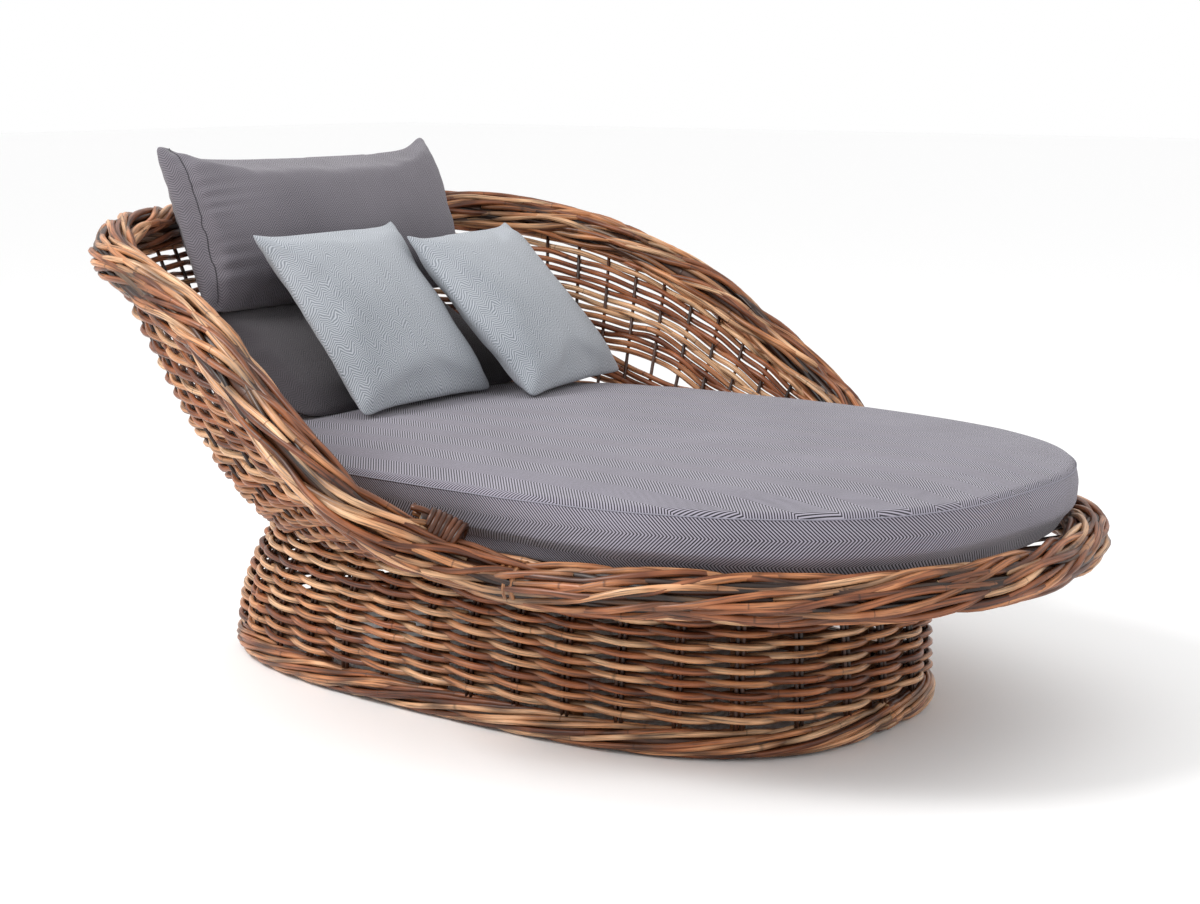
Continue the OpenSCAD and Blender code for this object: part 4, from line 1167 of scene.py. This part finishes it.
# The mattress seam is stitched with a paler thread, and the pillow's with a darker one
thread_finish = fabric("polyester_seam_thread", "#7C7A86", "#A09EAB", 0.8, threads, 3 * MM)
seam_finish = fabric("polyester_dark_thread", "#2E2C31", "#3E3B42", 0.8, threads, 3 * MM)
for piece, finish in ((mattress_cloth, mattress_finish), (mattress_welt, thread_finish),
                      (seam_cord, seam_finish),
                      (cushion_pieces["back_pillow_lower_cloth"], shaded_lower_pillow_finish),
                      (cushion_pieces["back_pillow_upper_cloth"], pillow_finish),
                      (cushion_pieces["scatter_left_cloth"], scatter_finish),
                      (cushion_pieces["scatter_right_cloth"], scatter_finish)):
    piece.data.materials.append(finish)
print("fabrics on", len(cushion_pieces) + 3, "pieces")

# %% [markdown]
# The parts that carry all this stay as the source made them: pole rings and posts, bearers and slats,
# and the glides. They have grain along X and Y, in object coordinates, since their meshes carry no UV.


# %% Carried-over nodes
def grained(name, tones, grain_mm, stretch, roughness):
    """Wood or pole with grain that is drawn out along one direction."""
    made, tree, shader = finish_named(name, roughness)
    place = add(tree, "TexCoord").outputs["Object"]
    drawn = add(tree, "Mapping", (), Vector=place, Scale=stretch).outputs[0]
    grain = add(tree, "TexNoise", (), Vector=drawn, Scale=1000 / grain_mm / 4, Detail=4.0).outputs[0]
    tree.links.new(banded(tree, grain, tones), shader.inputs["Base Color"])
    bump = add(tree, "Bump", (), Height=grain, Strength=0.3, Distance=0.0005)
    tree.links.new(bump.outputs[0], shader.inputs["Normal"])
    return made


# Steamed rattan pole with its skin on: brown, blotched and a little glossy
pole_tones = [(0.3, "#6A3E24"), (0.5, "#8F5A36"), (0.7, "#A8744A")]
pole_finish = grained("rattan_steamed_pole", pole_tones, 6, (1, 1, 1), 0.45)
# Planed meranti boards, unfinished: matt red-brown with long open grain
board_tones = [(0.3, "#7A4A30"), (0.5, "#99664A"), (0.7, "#B08062")]
board_finish = grained("meranti_planed_board", board_tones, 3, (1, 0.08, 1), 0.6)
# Moulded nylon: black and even, with a fine dull skin
nylon_finish = grained("nylon_moulded_black", [(0.3, "#141414"), (0.7, "#1F1F1F")], 1.5, (1, 1, 1), 0.5)
for node, finish in (("bottom_ring", pole_finish), ("seat_ring", pole_finish), ("posts", pole_finish),
                     ("rim_pole", pole_finish), ("hoop_pole", pole_finish), ("bearers", board_finish),
                     ("deck_slats", board_finish), ("floor_glides", nylon_finish)):
    kept = bpy.data.objects[node]
    kept.data.materials.clear()
    kept.data.materials.append(finish)
print("kept nodes finished")

# %% [markdown]
# A studio: a pale floor that runs out of sight, a bright even sky, one large soft lamp from the upper
# left and a weaker one from the right.

# %% Floor and light
floor_bm = bmesh.new()
bmesh.ops.create_grid(floor_bm, x_segments=1, y_segments=1, size=30)
floor = from_bmesh("floor", floor_bm)
floor_finish, _, floor_shader = finish_named("floor_matt_white", 0.9)
floor_shader.inputs["Base Color"].default_value = linear("#FCFCFC")
floor.data.materials.append(floor_finish)
world = bpy.data.worlds.new("studio")
bpy.context.scene.world = world
world.use_nodes = True
world.node_tree.nodes["Background"].inputs[0].default_value = linear("#FFFFFF")
world.node_tree.nodes["Background"].inputs[1].default_value = 1.0
bpy.context.scene.view_settings.view_transform = "Standard"


def lamp(name, place, aim, size, watts):
    """A square soft box that faces a place."""
    made = bpy.data.objects.new(name, bpy.data.lights.new(name, "AREA"))
    made.data.energy = watts
    made.data.size = size
    made.location = place
    made.rotation_euler = (Vector(place) - Vector(aim)).to_track_quat("Z", "Y").to_euler()
    bpy.context.collection.objects.link(made)


lamp("key", (-1.6, -3.0, 3.6), (0, 0, 0.4), 1.6, 135)
lamp("fill", (4.0, -0.5, 2.4), (0, 0, 0.4), 2.5, 15)
